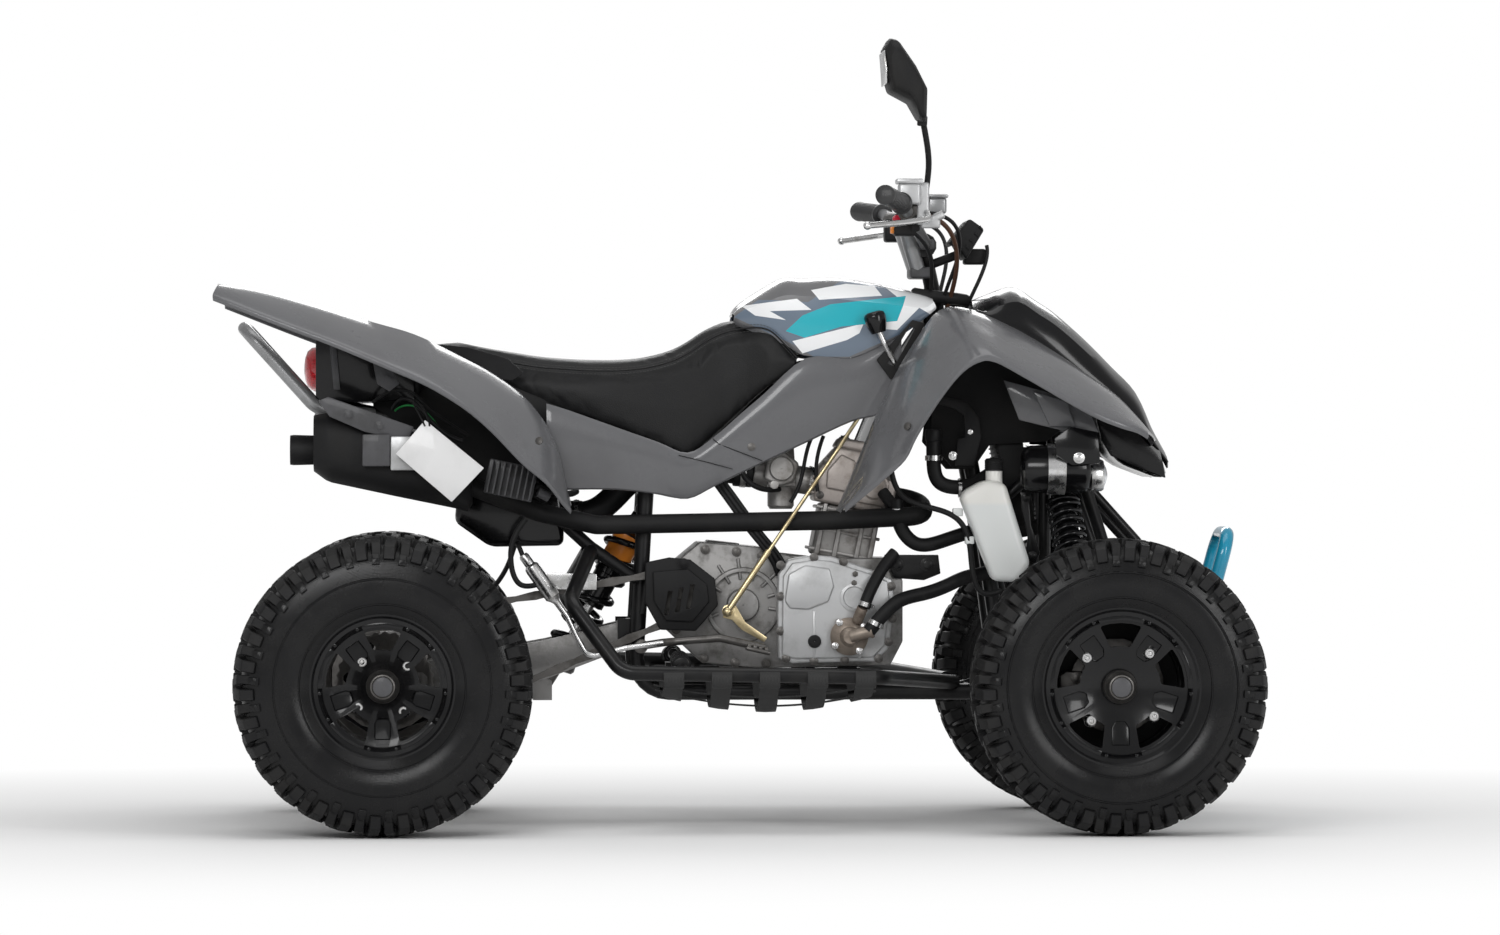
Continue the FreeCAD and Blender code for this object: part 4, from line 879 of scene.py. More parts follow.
carve(tank, roundBar(stemPoint(850), stemPoint(1000), 26, 24, 0))
finished(tank, "tankCover", "tankSticker", 30, stands="tank_cover")
nose = panel(netOf([((x, -half - 2, low), (x, -half + 10, top - 27), (x, -half * 0.5, top - 2), (x, 0, top),
                     (x, half * 0.5, top - 2), (x, half - 10, top - 27), (x, half + 2, low))
                    for x, half, top, low in noseRows], 4, 4, 2), -3.4)
finished(nose, "nosePanel", "blackGloss", 30, stands="nose_panel")
chin = panel(netOf([tuple((x - 0.0012 * y * y, y, z) for y in (-108, -62, 0, 62, 108))
                    for x, z in ((789, 652), (792, 628), (752, 640), (716, 657), (692, 690),
                                 (676, 738))], 3, 3), -3)
finished(chin, "noseChin", "blackGloss", 35)
rounded("tail_panel", "tailPanel", "blackGloss", 8, 20, 40)
tailSides = sidePlate([(-548, 866), (-470, 858), (-398, 838), (-370, 812), (-392, 798),
                       (-450, 804), (-548, 838)],
                      -147, -151, 1.2)
twin = mirroredCopy(tailSides)
finished([tailSides, twin], "tailSides", "blackGloss")
fixings = [bolt((38, 150 * s, 680), (0, s, 0), 5, 2.5, 18) for s in (1, -1)]
fixings += [bolt((-345, 334 * s, 690), (-0.5, s, 0.4), 5, 2.5, 18) for s in (1, -1)]
fixings += [bolt((306, 330 * s, 716), (-0.7, 0.8 * s, 0.3), 5, 2.5, 18) for s in (1, -1)]
finished(fixings, "panelBolts", "darkSteel", 30)
print("body panels made")


# Seat

# station, half width, crown, edge of the side flap
seatRows = [
    (-541, 34, 868, 846), (-528, 62, 872, 838), (-490, 86, 868, 824), (-440, 104, 858, 806),
    (-380, 118, 848, 776), (-341, 125, 842, 762), (-296, 130, 838, 748), (-250, 134, 836, 734),
    (-200, 134, 836, 716), (-150, 129, 841, 697), (-104, 121, 853, 681), (-72, 114, 869, 672),
    (-44, 108, 888, 692), (-10, 106, 904, 720), (26, 112, 912, 752), (54, 122, 913, 778),
    (76, 131, 905, 796), (100, 137, 881, 816), (121, 141, 858, 834),
]


def seatBase(shrink):
    lines = smoothLine([(x, half, top) for x, half, top, low in seatRows], 3)
    lows = smoothLine([(x, low, 0) for x, half, top, low in seatRows], 3)
    sections = []
    for (x, half, top), low in zip(lines, (point.y - 9 for point in lows)):
        half -= shrink
        top -= shrink
        side = [(half, low), (half + 3, low + (top - low) * 0.42), (half + 1, top - 22), (half - 12, top - 8),
                (half * 0.66, top - 3), (half * 0.33, top - 0.5)]
        under = max(low + 8, top - 84)
        inside = [(-half + 24, low), (-half + 28, under), (half - 28, under), (half - 24, low)]
        ring = side + [(0, top)] + [(-y, z) for y, z in reversed(side)] + inside
        sections.append([(x, y, z) for y, z in ring])
    return lofted(sections, 0, 60)


def puffed(piece, cap, pressure, voxel, steps=20):
    # swells the remeshed pad, holds back any point that moved further than the cap
    modify(piece, "REMESH", mode="VOXEL", voxel_size=voxel)
    before = [vertex.co.copy() for vertex in piece.data.vertices]
    only(piece)
    cloth = piece.modifiers.new("Cloth", "CLOTH")
    cloth.settings.use_pressure = True
    cloth.settings.uniform_pressure_force = pressure
    cloth.settings.effector_weights.gravity = 0
    cloth.point_cache.frame_start, cloth.point_cache.frame_end = 1, steps
    for step in range(1, steps + 1):
        bpy.context.scene.frame_set(step)
    bpy.ops.object.modifier_apply(modifier=cloth.name)
    bpy.context.scene.frame_set(1)
    for vertex, start in zip(piece.data.vertices, before):
        moved = vertex.co - start
        if moved.length > cap * milli:
            vertex.co = start + moved.normalized() * (cap * milli)
    modify(piece, "SUBSURF", levels=1, render_levels=1)
    return piece


def stitchRow(line, long=4.2, apart=6.4, thick=0.55):
    # small thread loops laid along a line
    loops = []
    travelled, due = 0.0, 0.0
    for a, b in zip(line, line[1:]):
        step = (b - a).length
        while due <= travelled + step:
            spot = a.lerp(b, (due - travelled) / step)
            along = (b - a).normalized()
            loops.append(([tuple(spot - along * long / 2), tuple(spot + along * long / 2)], thick, 1))
            due += apart
        travelled += step
    return roundRuns(loops, 1, 1)


seat = puffed(seatBase(4), 6, 3.5, 0.0045)
modify(seat, "SMOOTH", factor=0.5, iterations=6)
bpy.ops.object.shade_smooth()
seams = []
threads = []
for sign in (1, -1):
    upper = smoothLine([(x, (half + 0.5) * sign, top - 19) for x, half, top, low in seatRows[1:]], 4)
    seams.append(([tuple(p) for p in upper], 1.6, 30))
    threads.append(stitchRow([p + Vector((0, 0.4 * sign, 5.5)) for p in upper]))
    threads.append(stitchRow([p + Vector((0, 2.2 * sign, -6)) for p in upper]))
finished(seat, "seatCushion", "seatVinyl", stands="seat")
finished(roundRuns(seams, 2, 2), "seatPiping", "seatVinyl")
finished(threads, "seatStitches", "threadBlack")
print("seat made")


# Frame, arms, bumper and grab rail

def ball(place, radius):
    fresh()
    bpy.ops.mesh.primitive_uv_sphere_add(segments=24, ring_count=14, radius=radius * milli, location=mm(place))
    bpy.ops.object.transform_apply()
    bpy.ops.object.shade_smooth()
    return bpy.context.object


def clip(place, along, radius, width=8, thick=1.6):
    # a worm drive clamp round a hose, with its screw
    along = Vector(along).normalized()
    band = spun([(-width / 2, radius), (-width / 2, radius + thick), (width / 2, radius + thick),
                 (width / 2, radius)],
                28, place, along, 40)
    out = along.orthogonal().normalized()
    middle, reach = Vector(place) + out * (radius + 4), along.cross(out) * 7
    return united("clip", [band, roundBar(middle - reach, middle + reach, 4, 6, 0.5)])


runs = []
feet = []
for name, s in sides:
    runs += [
        ([(-150, 98 * s, 600), (-172, 105 * s, 239), (500, 92 * s, 239), (455, 72 * s, 560),
          (402, 34 * s, 850)],
         14.3, 60),
        ([(394, 62 * s, 838), (60, 62 * s, 776), (-152, 98 * s, 618), (-330, 98 * s, 672),
          (-700, 98 * s, 752)],
         14.3, 70),
        ([(-164, 104 * s, 440), (-250, 100 * s, 500), (-470, 98 * s, 700)], 11.3, 60),
        ([(470.5, 88 * s, 238), (751.5, 76 * s, 235)], 12.3, 1),
        ([(738.5, 77 * s, 235), (708.5, 98 * s, 400), (626.5, 136 * s, 650)], 11.3, 60),
        ([(542.5, 82 * s, 236), (568.5, 98 * s, 400), (566.5, 132 * s, 650)], 11.3, 60),
        ([(458, 84 * s, 560), (500, 124 * s, 592), (562.5, 118 * s, 648)], 10.3, 40),
        ([(600.5, 60 * s, 650), (560.5, 60 * s, 934)], 8.3, 1),
    ]
    feet += [([(-250, 104 * s, 492), (-292, 380 * s, 408), (-200, 440 * s, 284), (250, 440 * s, 276),
               (404, 98 * s, 256)], 13.4, 42)]
for x, z, half, radius in (
        (-104, 239, 105, 11.3), (150, 239, 105, 11.3), (440.5, 239, 94, 11.3), (-152, 596, 98, 11.3),
        (-330, 672, 98, 10.3), (-690, 750, 98, 10.3), (60, 776, 62, 10.3), (542.5, 236, 82, 10.3),
        (738.5, 235, 77, 10.3), (708.5, 400, 98, 10.3), (568.5, 400, 98, 10.3), (588.5, 652, 120, 11.3)):
    runs.append(([(x, -half, z), (x, half, z)], radius, 1))
finished(roundRuns(runs, 6, 5), "frameTubes", "framePaint", 50)
finished(roundRuns(feet, 8, 6), "footBarTubes", "framePaint", 50)
armRuns = []
joints = []
for name, s in sides:
    lowBall, topBall = (672.5, 371 * s, 202), (654.5, 351 * s, 334)
    for x in (732.5, 570.5):
        armRuns.append(([(x, 112 * s, 222), lowBall], 12.8, 1))
        joints.append(roundBar((x - 23.4, 112 * s, 222), (x + 23.4, 112 * s, 222), 17.4, 28, 1.5))
        joints.append(roundBar((x - 29, 112 * s, 222), (x + 29, 112 * s, 222), 6, 6, 1))
    for x, knee in ((706.5, 702.5), (576.5, 578.5)):
        armRuns.append(([(x, 124 * s, 352), (knee, 286 * s, 340), topBall], 10.8, 30))
        joints.append(roundBar((x - 20.4, 124 * s, 352), (x + 20.4, 124 * s, 352), 17.4, 28, 1.5))
        joints.append(roundBar((x - 26, 124 * s, 352), (x + 26, 124 * s, 352), 6, 6, 1))
    joints.append(roundBar((672.5, 371 * s, 188.6), (672.5, 371 * s, 215.4), 19, 28, 3))
    joints.append(roundBar((654.5, 351 * s, 321.6), (654.5, 351 * s, 346.4), 17, 28, 3))
finished([roundRuns(armRuns, 6, 5)] + joints, "armTubes", "framePaint", 50)
for node in ("lower_arm_left", "lower_arm_right", "upper_arm_left", "upper_arm_right",
             "frame_cradle", "frame_upper", "frame_front"):
    nodes[node].data.materials.clear()
    nodes[node].data.materials.append(paint["framePaint"])
hoop = roundRuns([([(744, -72, 236), (880, -80, 430), (905, -80, 523), (905, 80, 523),
                    (880, 80, 430), (744, 72, 236)],
                   12.8, 40)], 10, 6)
finished(hoop, "bumperHoop", "blueTube", 50, stands="front_bumper")
grabRuns = [([(-640, -104, 738), (-740, -152, 748), (-870, -150, 892), (-870, 150, 892), (-740, 152, 748),
              (-640, 104, 738)], 12, 40)]
grabParts = [roundRuns(grabRuns, 10, 6)]
for s in (1, -1):
    grabParts.append(sidePlate([(-745, 736), (-652, 716), (-560, 690), (-556, 708), (-650, 742), (-740, 762)],
                               113 * s, 118 * s, 1.2))
    grabParts += [bolt((x, 118 * s, z), (0, s, 0), 6, 4.5) for x, z in ((-704, 748), (-664, 728), (-620, 716))]
finished(grabParts, "grabRail", "silverTube", 45, stands="grab_bar")


# Shock absorbers

def springCoil(start, end, radius, wire, turns):
    start, end = Vector(start), Vector(end)
    axis = (end - start).normalized()
    out = axis.orthogonal().normalized()
    other = axis.cross(out)
    perTurn = 16
    steps = int(turns * perTurn)
    points = []
    for i in range(steps + 1):
        angle = 2 * math.pi * i / perTurn
        along = min(max((i / steps) * 1.12 - 0.06, 0), 1)
        points.append(start + axis * ((end - start).length * along)
                      + (out * math.cos(angle) + other * math.sin(angle)) * (radius - wire))
    return hose([tuple(p) for p in points], wire, 3, 1)


def shock(name, top, bottom, stand, facts, across):
    top, bottom, across = Vector(top), Vector(bottom), Vector(across)
    line = (bottom - top).normalized()
    total = (bottom - top).length
    rodFrom, rodTo, radius = facts["rodFrom"], total - 50, facts["rod"]
    body = spun(facts["body"], 36, top, line, 30)
    rod = spun([(rodFrom, 0.5), (rodFrom, radius), (rodTo, radius), (rodTo, 0.5)], 24, top, line)
    ends = [spun([(total - p, r) for p, r in facts["foot"]], 36, top, line, 30)]
    for place in (top, bottom):
        for half, radius, count, edge in ((facts["eyeHalf"], facts["eye"], 28, 1.5),
                                          (facts["eyeHalf"] + 6, 6, 6, 1)):
            ends.append(roundBar(place - across * half, place + across * half, radius, count, edge))
    spring = springCoil(top + line * facts["springFrom"], bottom - line * facts["springTo"], facts["springR"],
                        facts["wire"], facts["turns"])
    finished(body, name + "Body", "blackGloss", 30, stands=stand)
    finished(rod, name + "Rod", "brightSteel", 30)
    finished(ends, name + "Ends", "darkSteel", 30)
    finished(spring, name + "Spring", "blackGloss", 60)


frontShockFacts = {
    "body": [(8, 0.5), (8, 14), (30, 16), (34, 19), (54, 19), (56, 27), (64, 28), (66, 20), (92, 20), (94, 22),
             (100, 22), (102, 20), (188, 20), (190, 16), (190, 0.5)],
    "rod": 9, "rodFrom": 180, "foot": [(70, 9.2), (70, 27), (60, 29), (54, 27), (50, 16), (12, 13), (12, 9.2)],
    "eye": 14, "eyeHalf": 12, "springFrom": 64, "springTo": 64, "springR": 33, "wire": 3.6, "turns": 22,
}
rearShockFacts = {
    "body": [(10, 0.5), (10, 15), (34, 17), (36, 36), (46, 37), (50, 30), (52, 24), (120, 24),
             (122, 26), (132, 26), (134, 24), (196, 24), (198, 18), (198, 0.5)],
    "rod": 9, "rodFrom": 190, "foot": [(66, 9.2), (66, 33), (56, 35), (50, 32), (46, 14), (12, 12), (12, 9.2)],
    "eye": 15, "eyeHalf": 17, "springFrom": 50, "springTo": 62, "springR": 39, "wire": 6, "turns": 7.5,
}
for name, s in sides:
    shock("frontShock" + name.title(), (588.5, 140 * s, 636), (642.5, 318 * s, 249), "front_shock_" + name,
          frontShockFacts, (1, 0, 0))
rearTop, rearFoot = (-152, 0, 566), (-336, 0, 240)
shock("rearShock", rearTop, rearFoot, "rear_shock", rearShockFacts, (0, 1, 0))
sleeve = [(54, 23.5), (54, 26.6), (58, 27), (98, 27), (102, 26), (102, 23.5)]
finished(spun(sleeve, 36, rearTop, Vector(rearFoot) - Vector(rearTop), 30), "rearShockSleeve",
         "orangeBody", 30)
rounded("swingarm", "swingarmBody", "gearAlloy", 3, 25, 34)
print("frame and shocks made")


# Hubs, steering and the rear axle

for name, s in sides:
    rounded("knuckle_" + name, "knuckle_" + name + "_body", "framePaint", 2, 25, 35, "knuckle_" + name)
    rounded("front_hub_" + name, "frontHub_" + name, "darkSteel", 1, 40, 40, "front_wheel_" + name)
    rounded("tie_rod_" + name, "tieRod_" + name, "darkSteel", 0.8, 40, 50, "tie_rod_" + name)
rounded("rear_axle", "rearAxle", "darkSteel", 0.8, 30, 30, "rear_wheels")
rounded("steering_stem", "steeringStem", "framePaint", 1.2, 40, 50, "steering")
rounded("drive_chain", "driveChain", "darkSteel", 0.8, 25, 25)


# Engine

def raisedCover(outline, nearY, farY, lift, inset, edge=3.0):
    # cover plate with a stepped, rounded outer face
    plate = sidePlate(outline, nearY, farY, edge, 3)
    middle = Vector((sum(x for x, z in outline) / len(outline), sum(z for x, z in outline) / len(outline)))
    inner = []
    for x, z in outline:
        toward = middle - Vector((x, z))
        inner.append(tuple(Vector((x, z)) + toward.normalized() * inset))
    step = sidePlate(inner, farY + 2, farY + lift, edge, 3)
    return united("cover", [plate, step])


rounded("engine_crankcase", "crankcase", "gearAlloy", 6, 25, 35)
coverLine = [(86, 300), (84, 380), (86, 452), (104, 478), (150, 486), (182, 484), (224, 470),
             (258, 458), (291, 442), (296, 400), (284, 318), (262, 295), (112, 292)]
cover = [raisedCover(coverLine, -114, -148, -5, 9, 4)]
cover.append(sidePlate([(97, 404), (104, 452), (134, 468), (178, 462), (186, 430), (176, 402),
                        (140, 388), (106, 390)],
                       -150, -158, 3.5, 3))
cover.append(spun([(0, 1), (0, 26), (5, 25), (6, 20), (4, 18), (4, 1)], 40, (222, -150, 410), toNear, 30))
cover += [roundBar((x, -150, z0), (x, -150, z1), 4, 12, 1) for x, z0, z1 in ((150, 300, 386), (232, 300, 372))]
finished(cover, "generatorCover", "silverPaint", 35, stands="generator_cover")
screws = boltRow(((90, 468), (150, 482), (203, 474), (262, 452), (289, 430), (291, 372),
                  (284, 330), (266, 300), (205, 297), (150, 296), (100, 301), (90, 350), (90, 412), (222, 436),
                  (262, 372), (224, 452)),
                 -151, 5.5)
screws += boltRow(((-44, 496), (12, 492), (58, 484), (-104, 440), (-100, 384), (-96, 352),
                   (-46, 300), (10, 292), (66, 290)), -114, 6, 6)
finished(screws, "engineBolts", "darkSteel", 30)
plug = spun([(0, 1), (0, 12), (5, 11), (6, 8), (5, 1)], 28, (151, -153, 331), toNear, 30)
finished(plug, "oilSight", "matteBlack", 30)
caseRibs = [sidePlate([(-40, 506), (-36, 512), (20, 506), (18, 498)], -60, 60, 1.5, 2)]
for i in range(9):
    (ax, az), (bx, bz) = polar(46, 200 - 26 * i), polar(84 if i in (3, 4) else 92, 200 - 26 * i)
    caseRibs.append(roundBar((24 + ax, -114, 396 + az), (24 + bx, -113, 396 + bz), 3.2, 10, 1))
caseRibs.append(spun([(0, 60), (0, 68), (7, 66), (8, 62), (8, 60)], 56, (24, -112, 396), toNear, 30))
caseRibs.append(spun([(0, 1), (0, 30), (12, 27), (14, 20), (14, 1)], 40, (24, -112, 396), toNear, 30))
caseRibs.append(sidePlate([(-116, 404), (-64, 420), (-58, 372), (-108, 352)], -112, -124, 4, 3))
finished(caseRibs, "caseRibs", "gearAlloy", 35)


def leaned(x, z, y=0):
    c, s = polar(1, 11)
    return (204 + x * c + z * s, y, 480 - x * s + z * c)


def leanPlate(outline, nearY, farY, edge=2, segments=2):
    return outlined([leaned(x, z, nearY) for x, z in outline], (0, farY - nearY, 0), edge, segments)


barrel = [leanPlate([(-56, -4), (56, -4), (56, 92), (-56, 92)], -62, 62, 8, 3)]
for x in (-46, -14, 26, 50):
    barrel.append(leanPlate([(x - 5, -2), (x + 5, -2), (x + 4, 92), (x - 4, 92)], -70, -58, 2.5, 3))
for i in range(3):
    barrel.append(leanPlate([(-62, 4 + i * 38), (62, 4 + i * 38), (62, 10 + i * 38),
                             (-62, 10 + i * 38)], -67, 67, 2, 2))
head = [
    leanPlate([(-70, 92), (70, 92), (74, 112), (74, 150), (40, 196), (-44, 196), (-72, 150)], -74, 74, 6, 3),
    leanPlate([(-50, 194), (46, 194), (40, 214), (-42, 214)], -60, 60, 6, 3),
    leanPlate([(-52, 118), (-8, 118), (-8, 176), (-36, 184), (-56, 150)], -74, -82, 4, 3),
    leanPlate([(8, 104), (58, 104), (60, 148), (34, 178), (8, 172)], -74, -80, 4, 3),
    spun([(0, 1), (0, 24), (6, 23), (9, 19), (9, 1)], 32, leaned(34, 136, -74), toNear, 30),
]
head += [leanPlate([(-78, z), (-66, z), (-66, z + 5), (-78, z + 5)], -60, 60, 1.2) for z in (104, 118, 132)]
finished(barrel, "cylinderBarrel", "castAlloy", 30, stands="engine_cylinder")
finished(head, "cylinderHead", "headAlloy", 35)
headBolts = [bolt(leaned(x, z, -75), toNear, 5, 5) for x, z in ((-60, 104), (-60, 166), (60, 104),
                                                                (60, 160), (0, 98))]
headBolts += [bolt(leaned(x, 214, y), (0.19, 0, 0.98), 5, 5) for x in (-32, 32) for y in (-48, 48)]
finished(headBolts, "headBolts", "darkSteel", 30)

pump = [
    spun([(0, 1), (0, 34), (10, 34), (16, 30), (22, 18), (30, 16), (34, 12), (34, 1)], 48,
         (213, -152, 340), toNear, 30),
    roundBar((213, -182, 340), (254, -190, 352), 11, 24, 2),
    roundBar((226, -166, 366), (236, -176, 392), 10, 24, 2),
    spun([(0, 8), (0, 13.5), (5, 13.5), (5, 8)], 28, (248, -188.6, 350.4), (1, -0.2, 0.3), 30),
]
pumpLugs = [(213 + 31 * math.cos(a), 340 + 31 * math.sin(a)) for a in (0.6, 2.2, 3.7, 5.3)]
pump += [roundBar((x, -156, z), (x, -170, z), 6.5, 16, 1) for x, z in pumpLugs]
finished(pump, "waterPumpBody", "pumpBronze", 35, stands="water_pump")
finished(boltRow(pumpLugs, -170, 4.2, 4), "pumpScrews", "brightSteel", 30)

carb = [
    roundBar((44, -34, 634), (157, -22, 617), 25, 36, 3),
    spun([(0, 1), (0, 20), (6, 24), (40, 24), (46, 20), (46, 1)], 36, (96, -28, 568), (0, 0, 1), 30),
    spun([(0, 1), (0, 25), (10, 26), (40, 24), (46, 14), (46, 1)], 36, (96, -28, 641), (0, 0, 1), 30),
    block((70, -72, 608), (122, -44, 648), 4, 3),
    roundBar((82, -86, 612), (82, -70, 612), 8, 20, 1.5),
    outlined([(62, -84, 622), (70, -84, 668), (96, -84, 676), (128, -84, 650), (118, -84, 616),
              (90, -84, 608)], (0, 40, 0), 7, 4),
    spun([(0, 1), (0, 22), (4, 23), (7, 20), (8, 1)], 36, (95, -84, 641), toNear, 30),
]
finished(carb, "carburettorBody", "castAlloy", 35, stands="carburettor")

guard = [sidePlate([(-153, 473), (-110, 482), (-72, 478), (-28, 444), (-22, 396), (-62, 350),
                    (-126, 352), (-154, 402)],
                   -145, -152, 3, 3),
         sidePlate([(-140, 456), (-76, 462), (-42, 434), (-38, 402), (-68, 366), (-116, 368), (-138, 404)],
                   -151, -158, 3, 3)]
for i in range(3):
    x, z = -116 + 20 * i, 400 + 6 * i
    for plate in guard:
        carve(plate, sidePlate([(x - 4, z - 22), (x + 4, z - 22), (x + 12, z + 22),
                                (x + 4, z + 22)], -170, -130, 0))
guard += [roundBar((x, -112.3, z), (x, -146, z), 5, 16, 0.5) for x, z in ((-33, 438), (-29, 404))]
guard.append(bolt((-84, -158, 472), toNear, 6, 5))
finished(guard, "sprocketGuard", "matteBlack", 35, stands="sprocket_cover")

header = roundRuns([([(276, -30, 596), (348, -34, 582), (352, -112, 556), (180, -131, 548), (-240, -131, 540),
                      (-340, -128, 562), (-470, -190, 612)], 17.2, 34)], 10, 7)
mufflerRows = [
    (-462, 196, 608, 26, 30), (-470, 200, 612, 40, 48), (-492, 206, 628, 56, 58), (-600, 208, 654, 60, 62),
    (-712, 210, 678, 60, 62), (-722, 210, 680, 58, 60), (-744, 210, 686, 48, 50),
]
rings = []
for x, y, z, wide, high in mufflerRows:
    rings.append([(x, -y + wide * math.copysign(abs(math.cos(a)) ** 0.7, math.cos(a)),
                   z + high * math.copysign(abs(math.sin(a)) ** 0.7, math.sin(a)))
                  for a in (2 * math.pi * i / 32 for i in range(32))])
muffler = lofted(rings, 2)
tip = spun([(-4, 1), (-4, 24), (2, 26), (40, 27), (46, 26), (46, 20.5), (14, 20.5), (14, 1)], 40,
           (-740, -212, 674), (-1, 0, 0), 30)
bracket = sidePlate([(-742, 700), (-700, 716), (-690, 760), (-720, 764), (-738, 740)], -150, -146, 1.5)
finished([header, muffler, tip, bracket], "exhaustSystem", "matteBlack", 35, stands="exhaust")
print("engine made")


# Foot nets, pegs and the rear brake cylinder

def netHeight(x, y):
    across = (abs(y) - 283) / 155
    along = (x - 60) / 270
    return 270 - 58 * max(0, 1 - across * across) * max(0, 1 - along * along)


straps = []
for name, s in sides:
    for x in (-132, -48, 36, 120, 204):
        rows = [[(x + 4, y * s, netHeight(x + 4, y)), (x + 20, y * s, netHeight(x + 20, y) - 0.5),
                 (x + 38, y * s, netHeight(x + 38, y))] for y in range(124, 447, 18)]
        straps.append(panel(netOf(rows, 2, 2, 0), 2.4, 0.5))
        for y in (124, 445):
            straps.append(roundBar((x + 3, y * s, 272), (x + 39, y * s, 272), 15.4 if y > 200 else 9, 20, 1))
    for y in (200, 334):
        rows = [[(x, (y - 17) * s, netHeight(x, y) + 2.6), (x, y * s, netHeight(x, y) + 3),
                 (x, (y + 17) * s, netHeight(x, y) + 2.6)]
                for x in range(-140, 251, 26)]
        straps.append(panel(netOf(rows, 2, 2, 0), 2.4, 0.5))
finished(straps, "footNets", "netWeb", 50)
pegs = []
for name, s in sides:
    pegs += [roundBar((-93, 119.5 * s, 303), (-93, 440 * s, 282), 9, 20, 1),
             roundBar((-150, 128 * s, 270), (250, 128 * s, 270), 6, 14, 1)]
    pegs += [roundBar((-93, 180 * s, 300), (-93, 330 * s, 294), 14, 24, 2)]
    pegs += [spun([(0, 10), (0, 17), (4, 17), (4, 10)], 20,
                  (-93, (186 + 16 * i) * s, 299.6 - 0.64 * i), (0, s, 0), 40)
             for i in range(9)]
    pegs += [roundBar((x, 119.5 * s, 262), (x, 130 * s, 270), 5, 12, 0.5) for x in (-140, 240)]
finished(pegs, "footPegs", "framePaint", 40, stands=("foot_bar_left", "foot_bar_right"))
pedal = [roundRuns([([(-160, -112, 322), (-120, -168, 330), (-20, -180, 338),
                      (60, -180, 320)], 7.2, 26)], 6, 5),
         roundBar((-160, -100, 322), (-160, -126, 322), 13, 24, 1.5)]
for i in range(4):
    pedal.append(block((28 + 10 * i, -226, 318 - 2 * i), (34 + 10 * i, -178, 328 - 2 * i), 1.2, 2))
pedal += [roundBar((26, -224, 321), (68, -224, 312), 4, 12, 1),
          roundBar((26, -180, 321), (68, -180, 312), 4, 12, 1)]
finished(pedal, "brakePedal", "darkSteel", 40, stands="brake_pedal")
masterBore = [(0, 1), (0, 7), (4, 9), (22, 9), (26, 13), (32, 14), (92, 14), (98, 9), (104, 6),
              (138, 5), (138, 1)]
cylinder = [spun(masterBore, 32, (-372, -165, 487), (0.58, 0, -0.814), 30),
            sidePlate([(-345, 455), (-240, 452), (-240, 424), (-325, 425)], -157, -152, 1)]
finished(cylinder, "rearBrakeCylinder", "brightSteel", 35)
pushLine = [(-118, -168, 330), (-190, -168, 320), (-256, -165, 304), (-276, -165, 340), (-294, -165, 378)]
pushRod = roundRuns([(pushLine, 5, 20)], 5, 4)
finished(pushRod, "brakePushRod", "brightSteel", 40)


# Brake calipers

def caliperBody(centre, out, discR, half, thick):
    # a floating caliper over the edge of a disc, with its bridge and four bolts
    centre, out = Vector(centre), Vector(out).normalized()
    along = out.cross(Vector((0, 1, 0)))
    outline = [(discR - 30, -half), (discR + 6, -half), (discR + 17, -half * 0.7), (discR + 17, half * 0.7),
               (discR + 6, half), (discR - 30, half)]
    parts = []
    for low, high in ((-thick, -5), (5, thick)):
        corners = [centre + out * r + along * a + Vector((0, low, 0)) for r, a in outline]
        parts.append(outlined(corners, (0, high - low, 0), 3, 3))
    bridge = [(discR + 5, -half * 0.8), (discR + 16, -half * 0.6), (discR + 16, half * 0.6),
              (discR + 5, half * 0.8)]
    corners = [centre + out * r + along * a + Vector((0, -thick + 2, 0)) for r, a in bridge]
    parts.append(outlined(corners, (0, 2 * thick - 4, 0), 2, 3))
    for a in (-half * 0.55, half * 0.55):
        spot = centre + out * (discR - 12) + along * a
        for sign in (1, -1):
            parts.append(bolt(spot + Vector((0, thick * sign, 0)), (0, sign, 0), 7, 5))
    return parts


rearCaliper = caliperBody((-618.5, 92, 262), (1, 0, 0), 100, 28, 20)
rearCaliper.append(block((-546, 52, 240), (-508, 78, 284), 3, 2))
finished(rearCaliper, "rearCaliper", "castAlloy", 35)
for name, s in sides:
    front = caliperBody((666.5, 430 * s, 260), (-1, 0, 0), 84, 26, 15)
    finished(front, "frontCaliper" + name.title(), "darkSteel", 35, body="knuckle_" + name)


# Airbox, regulator, tag and tail lamps

airOutline = [(-494, 545), (-490, 590), (-450, 634), (-304, 616), (-296, 560), (-298, 502), (-430, 500)]
airbox = [sidePlate(airOutline, -79, 79, 12, 4),
          sidePlate([(-478, 640), (-470, 612), (-312, 596), (-308, 622), (-450, 646)], -72, 72, 5, 3)]
finished(airbox, "airboxBody", "blackGloss", 35, stands="airbox")
intake = hose([(-306, -30, 556), (-270, -30, 556), (-236, -30, 560), (-200, -30, 596),
               (-160, -30, 640), (-80, -32, 646), (0, -34, 638), (46, -34, 634)], 23.5, 6, 8)
cuffs = [roundBar((-300, -30, 556), (-262, -30, 556), 27, 32, 3),
         roundBar((10, -34, 637), (46, -34, 634), 27.5, 32, 3)]
finished([intake] + cuffs, "intakeHose", "hoseRubber", 50)
bands = [clip((-274, -30, 556), (1, 0, 0), 27, 10), clip((28, -34, 635.6), (1, 0, -0.08), 27.5, 10),
         clip((150, -23, 618), (1, 0.1, -0.15), 25.4, 9)]
finished(bands, "intakeClamps", "brightSteel", 40)


